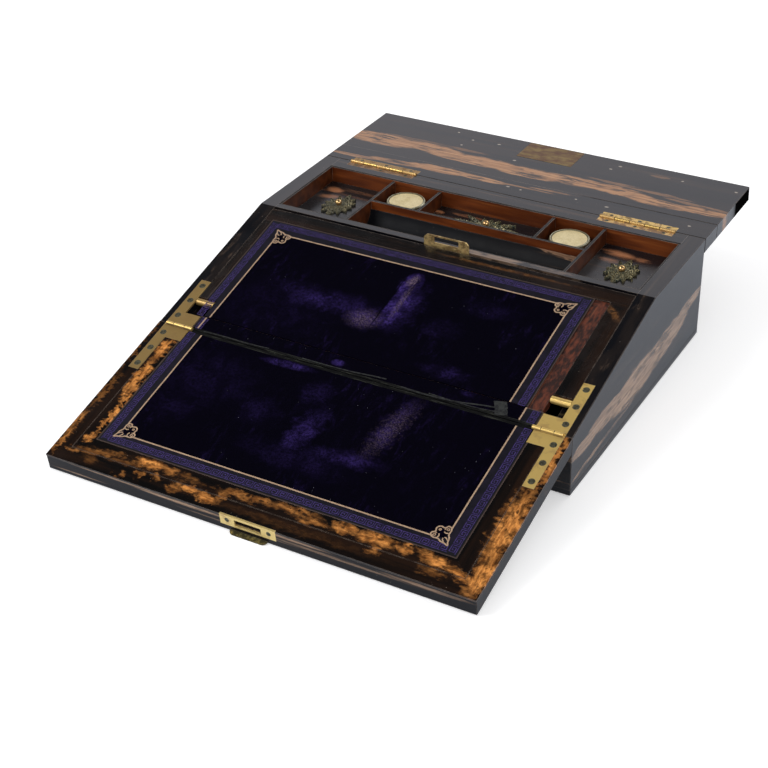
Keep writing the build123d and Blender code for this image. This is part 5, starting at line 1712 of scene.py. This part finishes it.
@dataclass
class SunkLids(Dressed):
    """The three sunk lids and their leaf mounts, each with a bead to lift it by.

    Attributes:
        places: Where each mount stands, and the turn of its long axis in degrees.
        top: Height of the lids' faces.
        start: Where a leaf starts, from the middle.
        disc: Radius of the cup's foot.
        fan: The turn, share of the reach and half width of each leaf of one half.
        reach: How far each mount's long leaves reach.
        leaf_steps: Faces along a leaf and across it.
        rings: Turns of the small rings between the leaves.
        ring: Distance from the middle, radius, half thickness and height of a ring.
        cup, bead: Sections of the cup and of the bead, as distance from the axis and height.
        cord: Radius, height and half thickness of the cord round the cup.
        pearls: How many pearls stand round the cup, and their distance, height and radius.
    """

    finishes: dict[str, Finish] = field(default_factory=lambda: {
        f"small_lid_{side}": COROMANDEL_LEVEL for side in ("left", "centre", "right")})
    places: dict[str, Triple] = field(default_factory=lambda: {
        "left": (-139.73, 74.6, 90.0), "centre": (0.0, 97.4, 0.0), "right": (139.73, 74.6, -90.0)})
    top: float = 79.48
    start: float = 4.6
    disc: float = 5.6
    fan: tuple[Triple, ...] = (
        (0.0, 1.0, 4.2), (27.0, 0.84, 3.0), (58.0, 0.7, 3.0), (-27.0, 0.84, 3.0), (-58.0, 0.7, 3.0),
        (90.0, 0.62, 3.0))
    reach: dict[str, float] = field(default_factory=lambda: {"left": 22.5, "centre": 32.0, "right": 22.5})
    leaf_steps: tuple[int, int] = (26, 12)
    rings: tuple[float, ...] = (14, 44, 76, 104, 136, 166, 194, 224, 256, 284, 316, 346)
    ring: Box = (10.2, 1.5, 0.5, 0.8)
    cup: tuple[Point, ...] = ((4.6, 1.3), (4.2, 2.5), (3.4, 2.7), (0.4, 1.6))
    bead: tuple[Point, ...] = (
        (0.02, 1.2), (1.6, 1.3), (1.8, 2.3), (2.7, 3.0), (3.15, 3.9), (3.05, 4.9), (2.5, 5.9), (1.6, 6.6),
        (0.7, 6.95), (0.02, 7.0))
    cord: Triple = (5.6, 1.45, 0.42)
    pearls: tuple[int, float, float, float] = (18, 4.85, 1.6, 0.48)

    def leaves(self, name: str) -> list[Leaf]:
        """The leaves of one mount, long at its ends and short at its sides.

        Args:
            name: Which lid.

        Returns:
            The leaves.
        """
        made = []
        for half_turn in (0.0, 180.0):
            for turn, share, half in self.fan:
                reach = self.reach[name] * share if abs(turn) < 30.0 else self.reach["left"] * share
                made.append(Leaf(half_turn + turn, reach, half))
        return made

    def leaf(self, shape: Shape, leaf: Leaf) -> None:
        """One lobed, veined and pierced leaf.

        Args:
            shape: Takes the leaf.
            leaf: Its direction and size.
        """
        before = set(shape.mesh.verts)
        long_steps, cross_steps = self.leaf_steps
        faces = shape.grid([i / long_steps for i in range(long_steps + 1)],
                           [2.0 * j / cross_steps - 1.0 for j in range(cross_steps + 1)])
        pierced = [f for f in faces if 0.22 < f.calc_center_median().x < 0.84
                   and 0.2 < abs(f.calc_center_median().y) < 0.72
                   and math.sin(26.0 * f.calc_center_median().x + 1.0) > -0.1]
        bmesh.ops.delete(shape.mesh, geom=pierced, context="FACES")
        faces = [f for f in faces if f.is_valid]
        heights: dict[Triple, float] = {}
        direction = math.radians(leaf.turn)
        for vert in [v for v in shape.mesh.verts if v not in before]:
            s, t = vert.co.x, vert.co.y
            wide = math.sin(math.pi * min(1.0, s ** 0.8)) ** 0.75 if 0 < s < 1 else 0.0
            lobes = 0.58 + 0.42 * abs(math.sin(math.pi * (5.2 * s + 0.2)))
            width = max(leaf.half * wide * lobes, 0.25 + 1.6 * (1.0 - s) ** 3)
            along = self.start + (leaf.reach - self.start) * s + 0.9 * (1 - abs(t)) * wide - 0.7 * abs(t) * wide
            side = t * width
            rise = 0.7 + 1.5 * math.sin(math.pi * s) * (1.0 - t * t) + 0.5 * max(0.0, 1.0 - abs(t) * 5.0)
            rise += 0.4 * math.cos(abs(t) * 8.0 - s * 26.0) + 0.9 * s * s
            vert.co.x = along * math.cos(direction) - side * math.sin(direction)
            vert.co.y = along * math.sin(direction) + side * math.cos(direction)
            heights[vert.co.to_tuple(4)] = max(0.5, rise)
        shape.thicken(faces, 0.05, lambda at: heights[at.to_tuple(4)] if at.z == 0.0 else at.z)

    def add_ring(self, shape: Shape, turn: float) -> None:
        """A small ring between two leaves.

        Args:
            shape: Takes the ring.
            turn: Its direction from the long axis in degrees.
        """
        before = set(shape.mesh.verts)
        distance, radius, wire, height = self.ring
        shape.turned(circle(wire, (radius, height)), 16)
        ring = [v for v in shape.mesh.verts if v not in before]
        moved = Vector((distance, 0.0, 0.0))
        moved.rotate(Matrix.Rotation(math.radians(turn), 3, "Z"))
        bmesh.ops.translate(shape.mesh, verts=ring, vec=moved)

    def mount(self, name: str) -> None:
        """One leaf mount with its cup and bead.

        Args:
            name: Which lid.
        """
        x, y, turn = self.places[name]
        place = level_place(x, y, self.top, turn)
        shape = Shape()
        for leaf in self.leaves(name):
            self.leaf(shape, leaf)
        for angle in self.rings:
            self.add_ring(shape, angle)
        foot = ((0.4, 0.05), (self.disc, 0.05), (self.disc, 0.9), (self.disc - 0.6, 1.25))
        shape.turned([*foot, *self.cup], 40)
        radius, height, wire = self.cord
        shape.turned(circle(wire, (radius, height)), 40)
        count, distance, height, size = self.pearls
        for across, along in circle(distance, count=count):
            pearl = bmesh.ops.create_icosphere(shape.mesh, subdivisions=1, radius=size)["verts"]
            bmesh.ops.translate(shape.mesh, verts=pearl, vec=(across, along, height))
        shape.finish(f"lid_mount_{name}_leaves", place, VERDIGRIS, f"small_lid_{name}", "verdigris_brass",
                     [f"lid_mount_{name}"], smooth=50.0)
        bead = Shape()
        bead.turned(self.bead)
        bead.finish(f"lid_bead_{name}", place, BEAD_BRASS, f"small_lid_{name}", "verdigris_brass", smooth=60.0)

    def build(self) -> None:
        """Dress the lids and make their mounts."""
        super().build()
        for name in self.places:
            self.mount(name)


# ---- the other sub-assemblies ------------------------------------------------------------
@dataclass
class Carcass(Dressed):
    """The box's walls, the rail behind the slope, the ledges and the fixed strip at the fold."""

    finishes: dict[str, Finish] = field(default_factory=lambda: {
        "bottom_board": BLACK_WOOD, "left_wall": COROMANDEL_SIDE, "right_wall": COROMANDEL_SIDE,
        "front_wall": BLACK_WOOD, "back_wall": COROMANDEL_UPRIGHT, "tray_rail": COROMANDEL_RAIL,
        "fold_strip": BLACK_WOOD, "panel_ledges": BLACK_WOOD})


@dataclass
class Leaves(Dressed):
    """A sub-assembly that also carries leather, velvet and gold.

    Attributes:
        surfaces: Its writing surfaces.
    """

    surfaces: tuple[WritingSurface, ...] = ()

    def build(self) -> None:
        """Dress the nodes and lay the writing surfaces."""
        super().build()
        for surface in self.surfaces:
            surface.build()


@dataclass
class Flap(Leaves):
    """The flap that folds down, with its mitred borders and its lock."""

    surfaces: tuple[WritingSurface, ...] = (WritingSurface(
        "flap", "flap", "flap_board", (-160.3, 160.3, -3.2, -135.16), (-145.4, 145.0, -122.6), FLAP_VELVET,
        notch=(158.8, -16.1)),)
    finishes: dict[str, Finish] = field(default_factory=lambda: {
        "flap_board": COROMANDEL_FLAP, "flap_edge_border": COROMANDEL_EDGE,
        "flap_inner_border": COROMANDEL_FIGURED, "lock_face_plate": LOCK_BRASS, "lock_screws": SCREW_STEEL,
        "lock_case": IRON, "lock_bolt": IRON, "escutcheon": OLD_BRASS})


@dataclass
class WritingPanel(Leaves):
    """The panel over the paper store, and the fixed strip in front of it."""

    surfaces: tuple[WritingSurface, ...] = (
        WritingSurface("panel", "panel", "panel_board", (-166.6, 144.6, 18.04, 148.14), (-151.0, 129.5, 132.6),
                       PANEL_VELVET, notch=(156.6, 37.6)),
        WritingSurface("fold", "box", "fold_strip", (-158.8, 158.8, 3.2, 17.0), (-153.4, 144.1, None),
                       FOLD_VELVET))
    finishes: dict[str, Finish] = field(default_factory=lambda: {
        "panel_board": BARE_GROUND, "panel_border": COROMANDEL_PANEL, "panel_barrels": BRASS})


@dataclass
class Hinges(Dressed):
    """The plate hinges of the flap, the butt hinges of the lid, and the loop plate."""

    finishes: dict[str, Finish] = field(default_factory=lambda: {
        "hinge_box_plates": HINGE_BRASS, "hinge_flap_plates": HINGE_BRASS, "hinge_pins": BRASS,
        "hinge_box_screws": SCREW_STEEL, "hinge_flap_screws": SCREW_STEEL, "butt_box_leaves": BOX_BUTT_BRASS,
        "butt_lid_leaves": BUTT_BRASS, "butt_box_screws": SCREW_STEEL, "butt_lid_screws": SCREW_STEEL,
        "loop_plate": LOOP_BRASS, "loop_screws": SCREW_STEEL})


@dataclass
class Lid(Dressed):
    """The lid, in two boards, with the brown plate at its free edge."""

    finishes: dict[str, Finish] = field(default_factory=lambda: {
        "lid_board": COROMANDEL_LID, "lid_hinge_strip": COROMANDEL_LID, "lid_plate": LID_BRASS})


@dataclass
class PenTray(Dressed):
    """The lining, dividers, floor and hollow trough of the pen tray, and its ink bottles."""

    finishes: dict[str, Finish] = field(default_factory=lambda: {
        "tray_lining": MAHOGANY, "tray_dividers": MAHOGANY, "tray_floor": MAHOGANY, "tray_bearers": MAHOGANY,
        "lid_cleats": MAHOGANY, "pen_trough": TROUGH_WOOD,
        **{f"ink_{piece}_{side}": finish for side in ("left", "right")
           for piece, finish in (("bottle", GLASS), ("cap", CAP_BRASS), ("disc", IVORY))}})


# ---- studio ------------------------------------------------------------------------------
WHITE = (1.0, 1.0, 1.0, 1.0)


@dataclass(frozen=True)
class Lamp:
    """One soft lamp.

    Attributes:
        name: Its name.
        place: Where it stands, in metres.
        size: Its width in metres.
        power: Its power in watts.
    """

    name: str
    place: Triple
    size: float
    power: float


@dataclass
class Studio:
    """A pale floor, soft lamps, a white surround and the camera.

    Attributes:
        lens, sensor: The camera's focal length and its sensor's width, in millimetres.
        clip: The nearest and furthest that it sees, in metres.
        place: Where it stands, in metres.
        right, up, back: Its axes.
        aim: What the lamps point at.
        world_light: Strength of the surround as a light.
        surround: Brightness of the surround as it is seen, low down and overhead.
        surround_tint: Its tint as it is seen.
        floor_size: Width of the floor in metres.
        paper, mirrored_paper: The floor's colour, and its colour in the part's gloss.
        floor_glow: How much the floor is lightened to the camera.
        lamps: The lamps.
    """

    lens: float = 76.03
    sensor: float = 36.0
    clip: Point = (0.05, 50.0)
    place: Triple = (0.57379, -1.06925, 0.74375)
    right: Triple = (0.86974, 0.49301, -0.02242)
    up: Triple = (-0.24882, 0.47728, 0.84279)
    back: Triple = (0.42620, -0.72742, 0.53778)
    aim: Triple = (0.0, -0.03, 0.05)
    world_light: float = 0.60
    surround: Point = (0.82, 0.04)
    surround_tint: Colour = (0.98, 0.97, 1.04)
    floor_size: float = 12.0
    paper: Colour = (0.80, 0.80, 0.81)
    mirrored_paper: Colour = (0.70, 0.74, 0.82)
    floor_glow: float = 0.38
    lamps: tuple[Lamp, ...] = (
        Lamp("key_lamp", (-1.5, -1.3, 1.9), 1.6, 30.0), Lamp("fill_lamp", (1.9, -1.2, 1.6), 1.8, 18.0),
        Lamp("back_lamp", (0.6, 2.2, 1.8), 1.6, 14.0))

    def set_camera(self) -> None:
        """Place the camera."""
        data = bpy.data.cameras.new("camera")
        data.lens, data.sensor_width = self.lens, self.sensor
        data.clip_start, data.clip_end = self.clip
        camera = bpy.data.objects.new("camera", data)
        columns = [Vector(axis).normalized() for axis in (self.right, self.up, self.back)]
        turn = Matrix(columns).transposed().to_4x4()
        camera.matrix_world = Matrix.Translation(self.place) @ turn
        bpy.context.scene.collection.objects.link(camera)
        bpy.context.scene.camera = camera

    def lay_floor(self) -> None:
        """Make the floor, whose own colour is white to the camera while it keeps the shadow."""
        mesh = bmesh.new()
        bmesh.ops.create_grid(mesh, x_segments=1, y_segments=1, size=self.floor_size / 2.0)
        data = bpy.data.meshes.new("floor")
        mesh.to_mesh(data)
        mesh.free()
        floor = bpy.data.objects.new("floor", data)
        bpy.context.scene.collection.objects.link(floor)
        material = bpy.data.materials.new("floor_paper")
        material.use_nodes = True
        graph = Graph(material.node_tree)
        path = graph.add("ShaderNodeLightPath").outputs
        glow = graph.times(graph.most(path["Is Camera Ray"], path["Is Transmission Ray"]), self.floor_glow)
        paper = graph.mix(path["Is Glossy Ray"], self.paper, self.mirrored_paper)
        graph.feed(material.node_tree.nodes["Principled BSDF"], {
            "Base Color": paper, "Roughness": 0.9, "Specular IOR Level": 0.0, "Emission Color": WHITE,
            "Emission Strength": glow})
        data.materials.append(material)

    def light(self) -> None:
        """Light the scene with an even surround and soft lamps."""
        world = bpy.data.worlds.new("surround")
        world.use_nodes = True
        bpy.context.scene.world = world
        graph = Graph(world.node_tree)
        path = graph.add("ShaderNodeLightPath").outputs
        seen = graph.most(path["Is Camera Ray"], path["Is Glossy Ray"], path["Is Transmission Ray"])
        rise = graph.parts(graph.add("ShaderNodeTexCoord").outputs["Generated"])[2]
        ceiling = graph.times(seen, graph.ramp(rise, 0.50, 0.75, *self.surround))
        strength = graph.math("ADD", ceiling, graph.times(graph.less(1.0, seen), self.world_light))
        tint = graph.mix(seen, WHITE, self.surround_tint)
        graph.feed(world.node_tree.nodes["Background"], {"Color": tint, "Strength": strength})
        for lamp in self.lamps:
            data = bpy.data.lights.new(lamp.name, "AREA")
            data.shape, data.size, data.energy = "DISK", lamp.size, lamp.power
            item = bpy.data.objects.new(lamp.name, data)
            toward = (Vector(self.aim) - Vector(lamp.place)).to_track_quat("-Z", "Y")
            item.matrix_world = Matrix.Translation(lamp.place) @ toward.to_matrix().to_4x4()
            bpy.context.scene.collection.objects.link(item)

    def build(self) -> None:
        """Set up the camera, the floor and the light."""
        bpy.context.scene.view_settings.view_transform = "Standard"
        self.set_camera()
        self.lay_floor()
        self.light()


def main() -> None:
    """Build the scene in order."""
    logging.basicConfig(level=logging.INFO, format="%(message)s")
    for part in (Studio(), Carcass(), Flap(), WritingPanel(), Fold(), Hinges(), Lid(), PenTray(), SunkLids()):
        LOG.info("building %s", type(part).__name__)
        part.build()


if __name__ == "__main__":
    main()
